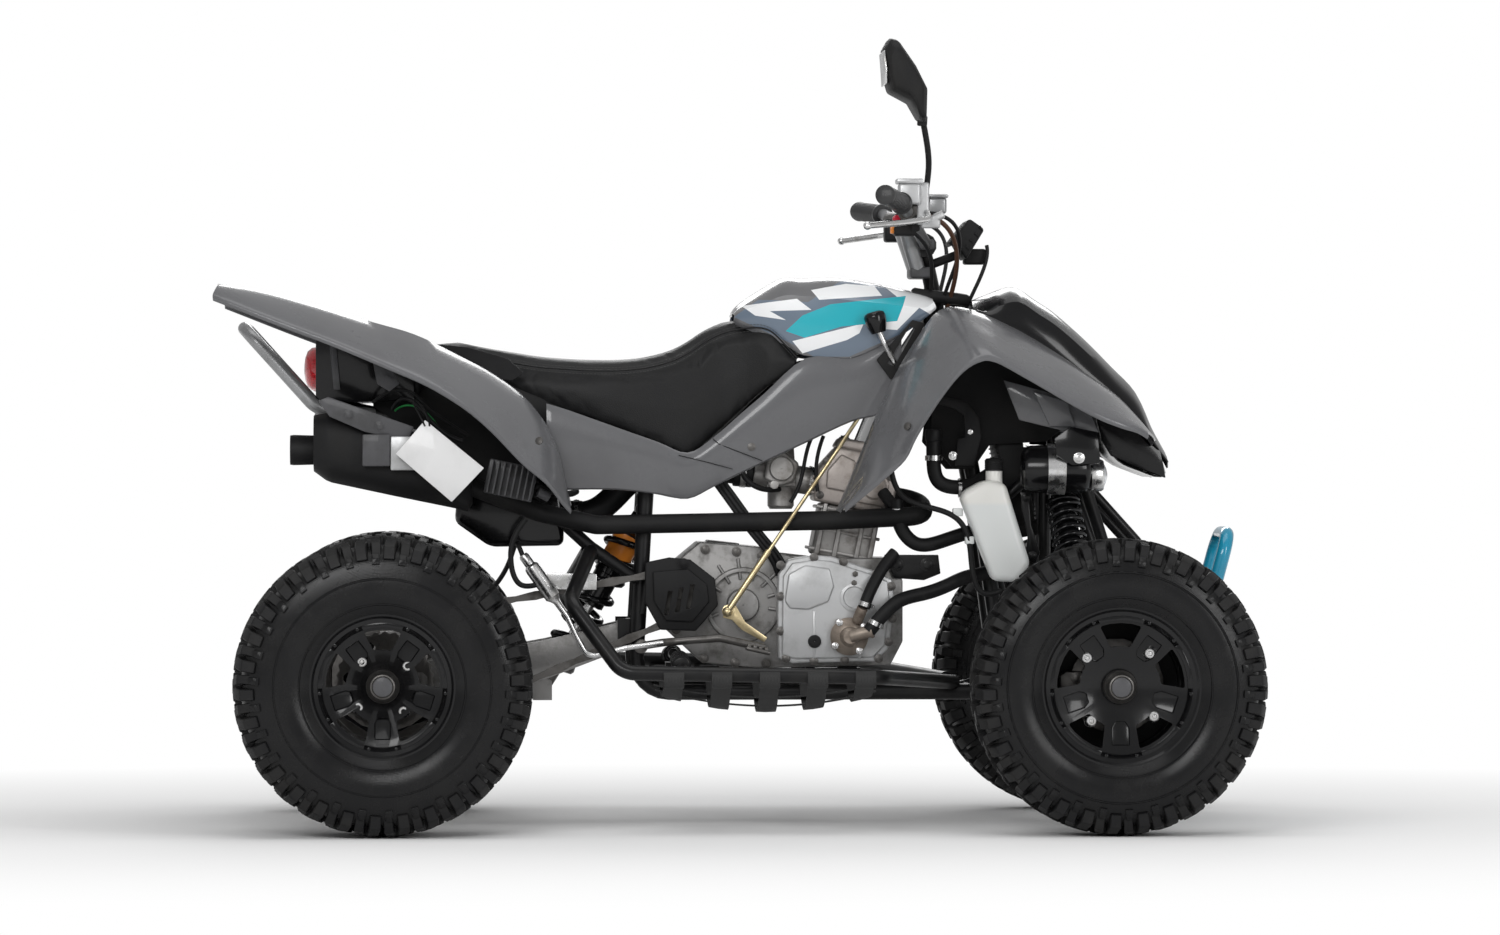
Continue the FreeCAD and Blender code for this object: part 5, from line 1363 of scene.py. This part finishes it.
def turnedBlock(centre, wide, high, near, far, degrees, edge=2):
    c, s = polar(1, degrees)
    corners = []
    for x, z in ((-wide / 2, -high / 2), (wide / 2, -high / 2), (wide / 2, high / 2), (-wide / 2, high / 2)):
        corners.append((centre[0] + x * c - z * s, near, centre[1] + x * s + z * c))
    return outlined(corners, (0, far - near, 0), edge, 2)


fins = [turnedBlock((-394, 620), 88, 62, -226, -206, -12, 3)]
for i in range(8):
    x, z = polar(-38 + 10.9 * i, -12)
    fins.append(turnedBlock((-394 + x, 620 + z), 3.4, 60, -244, -224, -12, 1))
fins.append(roundBar((-346, -218, 600), (-326, -212, 590), 9, 20, 1.5))
finished(fins, "regulatorFins", "barePlate", 30, stands="regulator")

tag = outlined([(-546, -296, 727), (-442, -298, 642), (-499, -302, 582), (-598, -300, 667)],
               (0, -2.5, 0), 1, 2)
finished(tag, "blankTag", "tagCard", 30)
tie = hose([(-546, -300, 716), (-556, -303, 736), (-572, -270, 764), (-566, -232, 768), (-542, -290, 742),
            (-538, -300, 716)],
           1.6, 2, 5)
cables = [
    hose([(-604, -190, 748), (-590, -226, 772), (-560, -232, 766), (-520, -226, 700),
          (-480, -222, 690)], 4, 3, 6),
    hose([(-640, -160, 760), (-600, -214, 790), (-556, -220, 776), (-536, -214, 740),
          (-470, -190, 700)], 3, 3, 6),
    hose([(-350, -214, 610), (-320, -208, 600), (-290, -180, 590), (-276, -120, 600)], 6, 3, 6),
]
finished([tie] + cables, "tailWires", "hoseRubber", 50)
finished(hose([(-600, -196, 744), (-578, -226, 764), (-548, -232, 752), (-524, -226, 716)], 2, 2, 6),
         "greenWire", "greenWire", 50)
for name, s in sides:
    base = spun([(0, 1), (0, 43), (20, 43), (24, 40), (24, 1)], 44, (-716, 92 * s, 820), (-1, 0, 0), 40)
    finished(base, "tailLampBase" + name.title(), "blackGloss", 35)
    lens = spun([(22, 1), (22, 40), (36, 38), (44, 31), (48, 20), (49.5, 8), (49.5, 0.5)], 44,
                (-714, 92 * s, 820), (-1, 0, 0), 60)
    finished(lens, "tailLamp" + name.title(), "redLens", 60, stands="tail_lamps" if s > 0 else ())
plate = sidePlate([(-718, 872), (-706, 872), (-698, 782), (-710, 782)], -158, -60, 1)
finished([plate, mirroredCopy(plate)], "lampBacks", "barePlate", 30)
print("rear parts made")


# Handlebar and controls

half = [(263, 385, 1123), (302, 258, 1112), (356, 64, 1048)]
whole = [(x, -y, z) for x, y, z in half] + half[::-1]
finished(roundRuns([(whole, 11.2, 44)], 8, 6), "handlebarTube", "silverTube", 50, body="steering")
for name, s in sides:
    inner, outer = Vector((300, 262 * s, 1112.6)), Vector((262, 388 * s, 1123.2))
    total = (outer - inner).length
    profile = [(0, 11.5), (0, 20), (4, 20), (6, 16.5)]
    for i in range(11):
        a = 10 + (total - 22) * i / 11
        profile += [(a, 17.6), (a + 5, 17.6), (a + 6, 16.4), (a + 8, 16.4)]
    profile += [(total - 8, 18.5), (total - 2, 17.5), (total, 12), (total, 1)]
    finished(spun(profile, 36, inner, outer - inner, 35), "grip" + name.title(), "gripRubber", 35,
             body="steering")
    perch = [roundBar((312, 220 * s, 1100), (322, 188 * s, 1092), 17, 28, 2),
             block((318, min(196 * s, 224 * s), 1092), (346, max(196 * s, 224 * s), 1112), 4, 3),
             roundBar((340, 216 * s, 1090), (340, 216 * s, 1118), 8, 20, 1)]
    finished(perch, "leverPerch" + name.title(), "darkSteel", 35, body="steering")
    lever = roundRuns([([(344, 216 * s, 1104), (352, 244 * s, 1086), (300, 330 * s, 1076),
                         (232, 398 * s, 1068)], 5.6, 34)], 6, 5)
    finished([lever, ball((231, 399 * s, 1068), 7.5)], "lever" + name.title(), "brightSteel", 50,
             body="steering")
reservoir = [block((297, -240, 1112), (336, -196, 1150), 5, 3),
             block((293, -244, 1149), (340, -192, 1158), 2.5, 2),
             block((330, -228, 1076), (352, -206, 1152), 4, 3),
             block((338, -226, 1070), (372, -210, 1086), 4, 3),
             roundBar((352, -218, 1082), (378, -216, 1096), 8, 6, 1.5)]
finished(reservoir, "brakeReservoir", "silverPaint", 35, body="steering")
farReservoir = [block((380, 196, 1112), (414, 236, 1142), 5, 3),
                block((377, 193, 1141), (417, 239, 1148), 2.5, 2),
                block((340, 200, 1094), (384, 222, 1116), 4, 3)]
finished(farReservoir, "farReservoir", "silverTube", 35, body="steering")
switchBox = [block((292, -186, 1058), (332, -138, 1098), 5, 3),
             block((296, 138, 1058), (334, 190, 1100), 5, 3),
             block((322, -190, 1066), (338, -150, 1088), 3, 2)]
finished(switchBox, "switchBoxes", "matteBlack", 35, stands=("hand_controls_left",
                                                             "hand_controls_right"), body="steering")
finished(roundBar((296, -190, 1088), (296, -172, 1088), 7, 20, 1.5), "stopSwitch", "redKnob", 35,
         body="steering")
finished(block((286, -176, 1062), (296, -158, 1076), 2, 2), "lightSwitch", "orangeBody", 35,
         body="steering")
tubes = roundRuns([([(346, 34 * s, 996), (330, 50 * s, 1046), (316, 74 * s, 1092)], 14, 30)
                   for s in (1, -1)], 6, 6)
finished(tubes, "barRisers", "silverTube", 45, body="steering")
risers = [block((336, -52, 1036), (376, 52, 1058), 6, 3), block((330, -50, 986), (372, 50, 1006), 5, 3)]
finished(risers, "barClamp", "barePlate", 35, stands="handlebar", body="steering")
dashBack = [outlined([(407, -66, 1058), (436, -66, 1094), (464, -66, 1074), (430, -66, 1018)],
                     (0, 132, 0), 6, 4),
            block((430, -24, 1012), (469, 24, 1040), 4, 3),
            outlined([(400, -52, 1050), (430, -52, 1088), (436, -52, 1082), (406, -52, 1044)],
                     (0, 104, 0), 2, 3),
            roundBar((420, -20, 1030), (372, -20, 1012), 8, 16, 1),
            roundBar((420, 20, 1030), (372, 20, 1012), 8, 16, 1)]
dashBack += [outlined([(452 - 8 * i, -69, 1078 - 12 * i), (456 - 8 * i, -69, 1081 - 12 * i),
                       (460 - 8 * i, -69, 1071 - 12 * i)],
                      (0, 138, 0), 0.6, 1) for i in range(4)]
finished(dashBack, "dashHousing", "matteBlack", 35, stands="dash", body="steering")
mirrorLine = [(275, 1404), (264, 1384), (267, 1336), (275, 1309), (312, 1289), (331, 1256), (342, 1256),
              (343.5, 1312), (322, 1355), (290, 1401)]
rings = []
for y, scale in ((-196, 0.55), (-200, 0.78), (-212, 0.94), (-240, 1.0), (-300, 1.0), (-332, 0.93),
                 (-345, 0.75), (-349, 0.5)):
    rings.append([(304 + (x - 304) * scale, y, 1336 + (z - 1336) * scale) for x, z in mirrorLine])
finished(lofted(rings, 5), "mirrorShell", "matteBlack", 40, stands="mirror", body="steering")
glass = outlined([(266, -214, 1380), (266.5, -332, 1380), (269, -340, 1350), (270, -332, 1322),
                  (270, -214, 1322), (269, -206, 1350)],
                 (-3, 0, 0), 0.8, 2)
finished(glass, "mirrorGlass", "brightSteel", 35, body="steering")
stalk = hose([(342, -210, 1104), (346, -212, 1130), (351, -222, 1166), (351, -236, 1196), (345, -252, 1228),
              (337, -268, 1262)],
             5.4, 4, 8)
finished([stalk, roundBar((341, -210, 1096), (346, -212, 1128), 10, 6, 1),
                                roundBar((336, -268, 1250), (337, -270, 1268), 9, 20, 2)], "mirrorStalk",
         "matteBlack", 50, body="steering")
print("controls made")


# Cables and hoses

cableRuns = [
    [(352, -206, 1098), (392, -196, 1094), (420, -150, 1060), (408, -90, 1000),
     (388, -50, 950), (380, -30, 900)],
    [(352, 206, 1098), (392, 196, 1094), (416, 150, 1056), (402, 90, 990), (386, 50, 950), (384, 20, 890)],
    [(318, -176, 1070), (352, -150, 1050), (372, -90, 1010), (366, -40, 950), (366, -20, 900)],
    [(322, 166, 1070), (356, 150, 1050), (372, 90, 1010), (364, 44, 950), (362, 20, 900)],
    [(470, -30, 1046), (478, -36, 1010), (440, -40, 960), (420, -20, 900)],
]
finished([hose(run, 3.6, 3, 8) for run in cableRuns], "controlCables", "hoseRubber", 50,
         body="steering")
brown = hose([(352, -216, 1092), (396, -190, 1080), (420, -112, 1010), (402, -44, 948),
              (389, -22, 904)], 4.4, 3, 8)
finished(brown, "brakeHoseUpper", "brownHose", 50, body="steering")
loom = [hose([(336, -46, 958), (366, -58, 952), (410, -52, 950), (432, -30, 946)], 11, 4, 8),
        hose([(340, 40, 962), (372, 54, 950), (412, 48, 946), (430, 26, 942)], 9, 4, 8)]
finished(loom, "wireLoom", "matteBlack", 50)
coolant = [
    hose([(246, -190, 350), (276, -192, 386), (300, -186, 410), (350, -178, 416),
          (396, -164, 434), (430, -140, 452), (480, -116, 452), (520, -100, 500)], 12.4, 4, 8),
    hose([(366, -130, 694), (366, -130, 656), (366, -130, 622), (392, -130, 604), (440, -126, 608),
          (482, -100, 640)],
         13, 4, 8),
    hose([(300, -112, 584), (300, -118, 545), (322, -122, 506), (360, -122, 498), (426, -120, 528),
          (500, -100, 544)],
         12.6, 4, 8),
    hose([(238, -176, 392), (250, -172, 430), (276, -150, 470), (296, -140, 490)], 11, 4, 8),
    roundBar((296, -112, 572), (276, -96, 600), 11, 24, 2),
    roundBar((366, -130, 690), (366, -130, 712), 15, 24, 2),
]
finished(coolant, "coolantPipes", "hoseRubber", 50)
straps = [clip((258, -191, 364), (0.45, 0, 0.9), 12.6, 8), clip((366, -130, 660), (0, 0, 1), 13.4, 9),
          clip((300, -114, 564), (0, 0, 1), 13, 9), clip((241, -175, 398), (0.3, 0, 0.95), 11.4, 8),
          clip((414, -130, 604), (1, 0, 0), 13.4, 6)]
finished(straps, "hoseClamps", "brightSteel", 40)
overflow = hose([(284, -196, 654), (288, -198, 604), (320, -200, 577), (379, -204, 568),
                 (416, -204, 546), (429, -200, 499),
                 (429, -198, 449), (448, -196, 405), (484, -194, 423)], 5, 3, 8)
finished(overflow, "overflowHose", "hoseRubber", 50)
bundle = [hose([(-36 + dx, -104, 640), (10 + dx, -118, 580), (46 + dx, -128, 520), (84 + dx, -136, 486),
                (96 + dx, -122, 450)],
               r, 3, 8) for dx, r in ((0, 5), (9, 4), (-9, 4.5))]
bundle += [hose([(-150, -104, 470), (-148, -112, 430), (-158, -112, 380)], 7, 3, 6),
           hose([(150, -100, 700), (130, -92, 660), (140, -90, 620), (110, -96, 580)], 3.5, 3, 8),
           hose([(170, -100, 700), (150, -92, 650), (160, -90, 600)], 3.5, 3, 8)]
finished(bundle, "engineLoom", "hoseRubber", 50)
fuel = hose([(96, -60, 676), (60, -96, 700), (10, -110, 660), (30, -108, 610), (70, -90, 600),
             (92, -56, 604)], 5, 3, 8)
brakeHose = hose([(-372, -165, 484), (-380, -160, 506), (-386, -140, 516), (-400, -60, 440),
                  (-470, 30, 380), (-520, 72, 330)],
                 4.4, 3, 8)
loop = hose([(-367, -165, 551), (-392, -168, 520), (-396, -170, 479), (-388, -168, 440), (-370, -166, 426),
             (-342, -165, 435)], 5, 3, 8)
finished([fuel, brakeHose, loop], "smallHoses", "hoseRubber", 50)
lever = [roundRuns([([(286, -124, 815), (226, -124, 724), (196, -150, 680), (-6, -170, 385)], 3.6, 60)], 5, 4),
         roundRuns([([(68, -166, 494), (-6, -170, 385)], 5.6, 20)], 5, 5), ball((-6, -170, 385), 9)]
stem = roundRuns([([(262, -160, 896), (276, -158, 866), (298, -140, 824)], 5.4, 20)], 5, 5)
finished(stem, "gearStem", "brightSteel", 40)
finished(lever, "gearRod", "goldPlate", 40)
crank = [sidePlate([(-14, 374), (2, 370), (20, 352), (60, 330), (66, 338), (26, 366), (8, 398),
                    (-10, 396)], -160, -165, 1.4),
         bolt((-4, -165, 386), toNear, 8, 5)]
finished(crank, "gearCrank", "goldPlate", 35)
knob = spun([(-16, 3), (-16, 13), (-8, 16), (2, 19), (14, 20), (20, 18), (23, 12), (23, 0.5)],
            36, (262, -160, 900), (-0.25, 0, 0.97), 50)
finished(knob, "gearKnob", "blackGloss", 50, stands="gear_lever")
gate = sidePlate([(262, 836), (327, 908), (350, 902), (308, 816), (288, 800)], -147, -152, 2, 2)
carve(gate, sidePlate([(282, 830), (322, 896), (332, 892), (294, 824)], -170, -130, 0))
finished(gate, "gearGate", "matteBlack", 30)
print("cables made")


# Headlamps, bottle and radiator

for name, s in sides:
    bucket = [spun([(0, 1), (0, 26), (5, 37), (16, 42.5), (112, 43), (119, 40), (124, 32), (124, 1)], 48,
                   (516.5, 217 * s, 640), (1, 0, 0), 35),
              spun([(0, 24), (0, 27), (24, 27), (24, 24)], 40, (636, 217 * s, 629), (1, 0, 0), 35)]
    bucket += [outlined([(572, 262 * s, 694), (600, 264 * s, 716), (650, 264 * s, 706), (654, 264 * s, 650),
                         (604, 264 * s, 646), (576, 264 * s, 664)], (0, 4 * s, 0), 1.4, 2)]
    finished(bucket, "headlampBucket" + name.title(), "blackGloss", 35, stands="headlamps" if s > 0 else ())
    ring = [spun([(46, 43.4), (46, 45.4), (78, 45.4), (78, 43.4)], 48, (516.5, 217 * s, 640), (1, 0, 0), 35),
            spun([(4, 27), (4, 28.6), (22, 28.6), (26, 26), (26, 23)], 44, (638, 217 * s, 629), (1, 0, 0), 40),
            bolt((616, 268 * s, 660), (0, s, 0), 7, 5)]
    finished(ring, "headlampRing" + name.title(), "brightSteel", 35)
    lens = spun([(18, 24), (26, 21), (30, 13), (32, 5), (32, 0.5)], 44, (639, 217 * s, 629), (1, 0, 0), 60)
    finished(lens, "headlampLens" + name.title(), "clearLens", 60)
crossBar = block((636, -182, 612), (644, 182, 640), 2, 2)
plates = [outlined([(600, 170 * s, 700), (668, 182 * s, 650), (662, 182 * s, 610), (604, 176 * s, 620)],
                   (0, -4 * s, 0), 1.2, 2)
          for s in (1, -1)]
finished([crossBar] + plates, "lampBracket", "framePaint", 30)
noseStays = roundRuns([([(618, 112 * s, 640), (742, 102 * s, 503), (752, 84 * s, 400),
                         (748, 76 * s, 244)], 9, 40)
                       for s in (1, -1)], 6, 5)
finished(noseStays, "noseStays", "framePaint", 45)
bottleOutline = [(412, 600), (452, 622), (489, 616), (534, 470), (510, 438), (466, 440), (409, 586)]
bottle = [sidePlate(bottleOutline, -224, -166, 13, 4), roundBar((470, -196, 606), (470, -196, 640), 15, 28, 1)]
bottle += [block((396, -206, 556), (414, -184, 570), 2), block((418, -206, 506), (434, -184, 520), 2)]
finished(bottle, "coolantTank", "bottlePlastic", 40, stands="coolant_bottle")
cap = spun([(0, 1), (0, 17)] + [(2 + i * 2, 17 - 0.8 * (i % 2)) for i in range(9)] + [(22, 14), (24, 1)], 30,
           (470, -196, 637), (0, 0, 1), 30)
finished(cap, "bottleCap", "hoseRubber", 30)
bottleArm = sidePlate([(520, 600), (536, 596), (540, 540), (556, 490), (548, 470), (528, 478),
                       (534, 520), (524, 560)],
                      -160, -155, 2)
finished([bottleArm] + boltRow(((530, 590), (542, 484)), -160), "bottleBracket", "framePaint",
         30)
core = outlined([(472, -90, 762), (518, -90, 770), (556, -90, 528), (510, -90, 520)], (0, 180, 0), 2, 2)
tanks = [outlined([(470, -92, 768), (520, -92, 776), (524, -92, 748), (474, -92, 740)], (0, 184, 0), 5, 3),
         outlined([(508, -92, 540), (558, -92, 548), (562, -92, 522), (512, -92, 514)], (0, 184, 0), 5, 3)]
finished(tanks, "radiatorTanks", "matteBlack", 30)
fins = [core]
for i in range(26):
    t = i / 25
    x, z = 474 + 37 * t, 742 - 200 * t
    fins.append(outlined([(x - 3, -88, z), (x + 46, -88, z + 8), (x + 46, -88, z + 5),
                          (x - 3, -88, z - 3)], (0, 176, 0), 0))
finished(fins, "radiatorCore", "matteBlack", 30, stands="radiator")
shroud = sidePlate([(369, 772), (424, 762), (447, 732), (451, 698), (438, 646), (404, 647), (408, 694),
                    (422, 698), (419, 737), (400, 750), (370, 758)], -150, -142, 2)
finished(shroud, "radiatorShroud", "matteBlack", 35)
finished(boltRow(((431, 707), (400, 664)), -148, 5.5, 4), "shroudBolts", "brightSteel", 30)
enginePlate = sidePlate([(278, 486), (376, 486), (380, 452), (350, 440), (296, 444)], -118, -112, 1.5)
finished([enginePlate] + boltRow(((300, 468), (356, 468)), -118, 9, 6), "engineBracket", "framePaint",
         30)


# Liners and small plates

liners = []
for s in (1, -1):
    for outline, y in (([(-640, 838), (-560, 800), (-460, 745), (-390, 690), (-340, 612), (-454, 617),
                         (-567, 705), (-640, 752)], 110),
                       ([(372, 790), (420, 850), (520, 846), (600, 800), (640, 760), (600, 712),
                         (573, 690), (470, 684), (440, 640), (405, 640), (361, 690)], 96),
                       ([(-450, 812), (-300, 752), (-296, 690), (-350, 690), (-440, 770)], 119)):
        liners.append(sidePlate(outline, y * s, (y + 4) * s, 1.2))
finished(liners, "innerLiners", "matteBlack", 30)
facets = []
for s in (1, -1):
    facets.append(outlined([(488, 176 * s, 800), (559, 184 * s, 780), (640, 192 * s, 748), (658, 194 * s, 706),
                            (593, 190 * s, 709), (516, 182 * s, 728)], (0, 5 * s, 0), 2, 2))
    facets.append(outlined([(540, 190 * s, 780), (600, 200 * s, 762), (616, 200 * s, 716),
                            (570, 196 * s, 716)], (0, 6 * s, 0), 3, 2))
finished(facets, "innerFenders", "greyPlastic", 30)
chinSides = [sidePlate([(658, 741), (694, 736), (744, 712), (777, 673), (786, 624), (740, 640),
                        (687, 664), (670, 691)],
                       118 * s, 126 * s, 2) for s in (1, -1)]
finished(chinSides, "chinSides", "blackGloss", 30)
grips = [sidePlate([(-735, 761), (-717, 768), (-640, 741), (-653, 706), (-715, 733)], 160, 164, 1.5),
         sidePlate([(-735, 761), (-717, 768), (-640, 741), (-566, 715), (-577, 688), (-653, 706),
                    (-715, 733)], -276, -280, 1.5)]
grips += boltRow(((-681, 736), (-626, 716)), -280, 6.5)
grips.append(sidePlate([(-640, 834), (-604, 816), (-592, 792), (-610, 778), (-632, 792)], -218, -214, 1.5))
grips.append(bolt((-611, -218, 800), toNear, 7, 5))
grips.append(block((-657, -288, 645), (-608, -276, 702), 3, 2))
finished(grips, "rearBrackets", "barePlate", 30)
finished(block((-607, -286, 638), (-560, -276, 698), 2, 2), "silverBox", "silverPaint", 30)
seams = roundRuns([([(-32, -155.5, 695), (-21, -155.5, 685), (57, -151.5, 655)], 0.9, 4),
                   ([(-93, -159, 665), (-40, -158.5, 652), (4, -157, 640)], 0.8, 10)], 2, 1)
finished(seams, "coverSeams", "matteBlack", 30)
for name, s in sides:
    shield = spun([(0, 28), (0, 113), (2, 115), (5, 115), (5, 112), (2, 110), (2, 28)], 56,
                  (666.5, 407 * s, 260), (0, s, 0), 35)
    finished(shield, "brakeShield" + name.title(), "matteBlack", 35, body="knuckle_" + name)
print("front parts made")


# Camera, light and floor

view = {"place": (-0.4845, -12.1, 0.643), "turn": 2.49, "lens": 160.1}


def stageSet():
    fresh()
    bpy.ops.mesh.primitive_circle_add(vertices=96, radius=40, fill_type="NGON")
    floor = bpy.context.object
    floor.name = "floor"
    material = bpy.data.materials.new("floorPaper")
    material.use_nodes = True
    tree = material.node_tree
    value = Value(tree)
    surface = tree.nodes["Principled BSDF"]
    surface.inputs["Base Color"].default_value = (0.93, 0.93, 0.93, 1)
    surface.inputs["Roughness"].default_value = 1.0
    surface.inputs["Specular IOR Level"].default_value = 0.0
    x, y, z = value.spot()
    away = value.maths("SQRT", x * x * 0.55 + y * y).spread(0.9, 2.4)
    seen = value.node("LightPath", output=0) + value.node("LightPath", output=3)
    glow = value.node("Emission", {}, {"Color": (1, 1, 1, 1), "Strength": 1.0})
    mixed = value.node("MixShader", {}, {0: away * value.maths("MINIMUM", seen, 1.0), 2: glow})
    tree.links.new(surface.outputs[0], mixed.socket.node.inputs[1])
    tree.links.new(mixed.socket, tree.nodes["Material Output"].inputs[0])
    floor.data.materials.append(material)
    world = bpy.data.worlds.new("studio")
    bpy.context.scene.world = world
    world.use_nodes = True
    tree = world.node_tree
    value = Value(tree)
    back = tree.nodes["Background"]
    back.inputs[0].default_value = (1, 1, 1, 1)
    back.inputs[1].default_value = 0.38
    white = value.node("Background", {}, {0: (1, 1, 1, 1), 1: 1.0})
    path = tree.nodes.new("ShaderNodeLightPath")
    seen = [Value(tree, path.outputs[name]) for name in ("Is Camera Ray", "Is Glossy Ray",
                                                         "Is Transmission Ray")]
    mask = value.maths("MINIMUM", seen[0] + seen[1] * 0.2 + seen[2], 1.0)
    mixed = value.node("MixShader", {}, {0: mask, 2: white})
    tree.links.new(back.outputs[0], mixed.socket.node.inputs[1])
    tree.links.new(mixed.socket, tree.nodes["World Output"].inputs[0])


def lamp(name, place, aim, wide, high, power):
    fresh()
    bpy.ops.object.light_add(type="AREA", location=place)
    light = bpy.context.object
    light.name = name
    light.data.shape = "RECTANGLE"
    light.data.size, light.data.size_y = wide, high
    light.data.energy = power
    light.rotation_mode = "QUATERNION"
    light.rotation_quaternion = (Vector(aim) - Vector(place)).to_track_quat("-Z", "Y")


stageSet()
lamp("overhead", (0.2, -0.6, 4.2), (0, 0, 0.5), 3.6, 2.4, 48)
lamp("nearSide", (-1.6, -5.0, 2.6), (0, 0, 0.5), 2.6, 1.4, 100)
lamp("nearFront", (3.2, -4.2, 1.8), (0.3, 0, 0.5), 1.2, 2.2, 58)
lamp("farSide", (0.5, 4.6, 2.8), (0, 0, 0.5), 3.0, 1.6, 70)
bpy.ops.object.camera_add(location=view["place"], rotation=(math.pi / 2, 0, -math.radians(view["turn"])))
camera = bpy.context.object
camera.data.sensor_width = 36
camera.data.lens = view["lens"]
camera.data.clip_end = 200
scene = bpy.context.scene
scene.camera = camera
scene.view_settings.view_transform = "Standard"
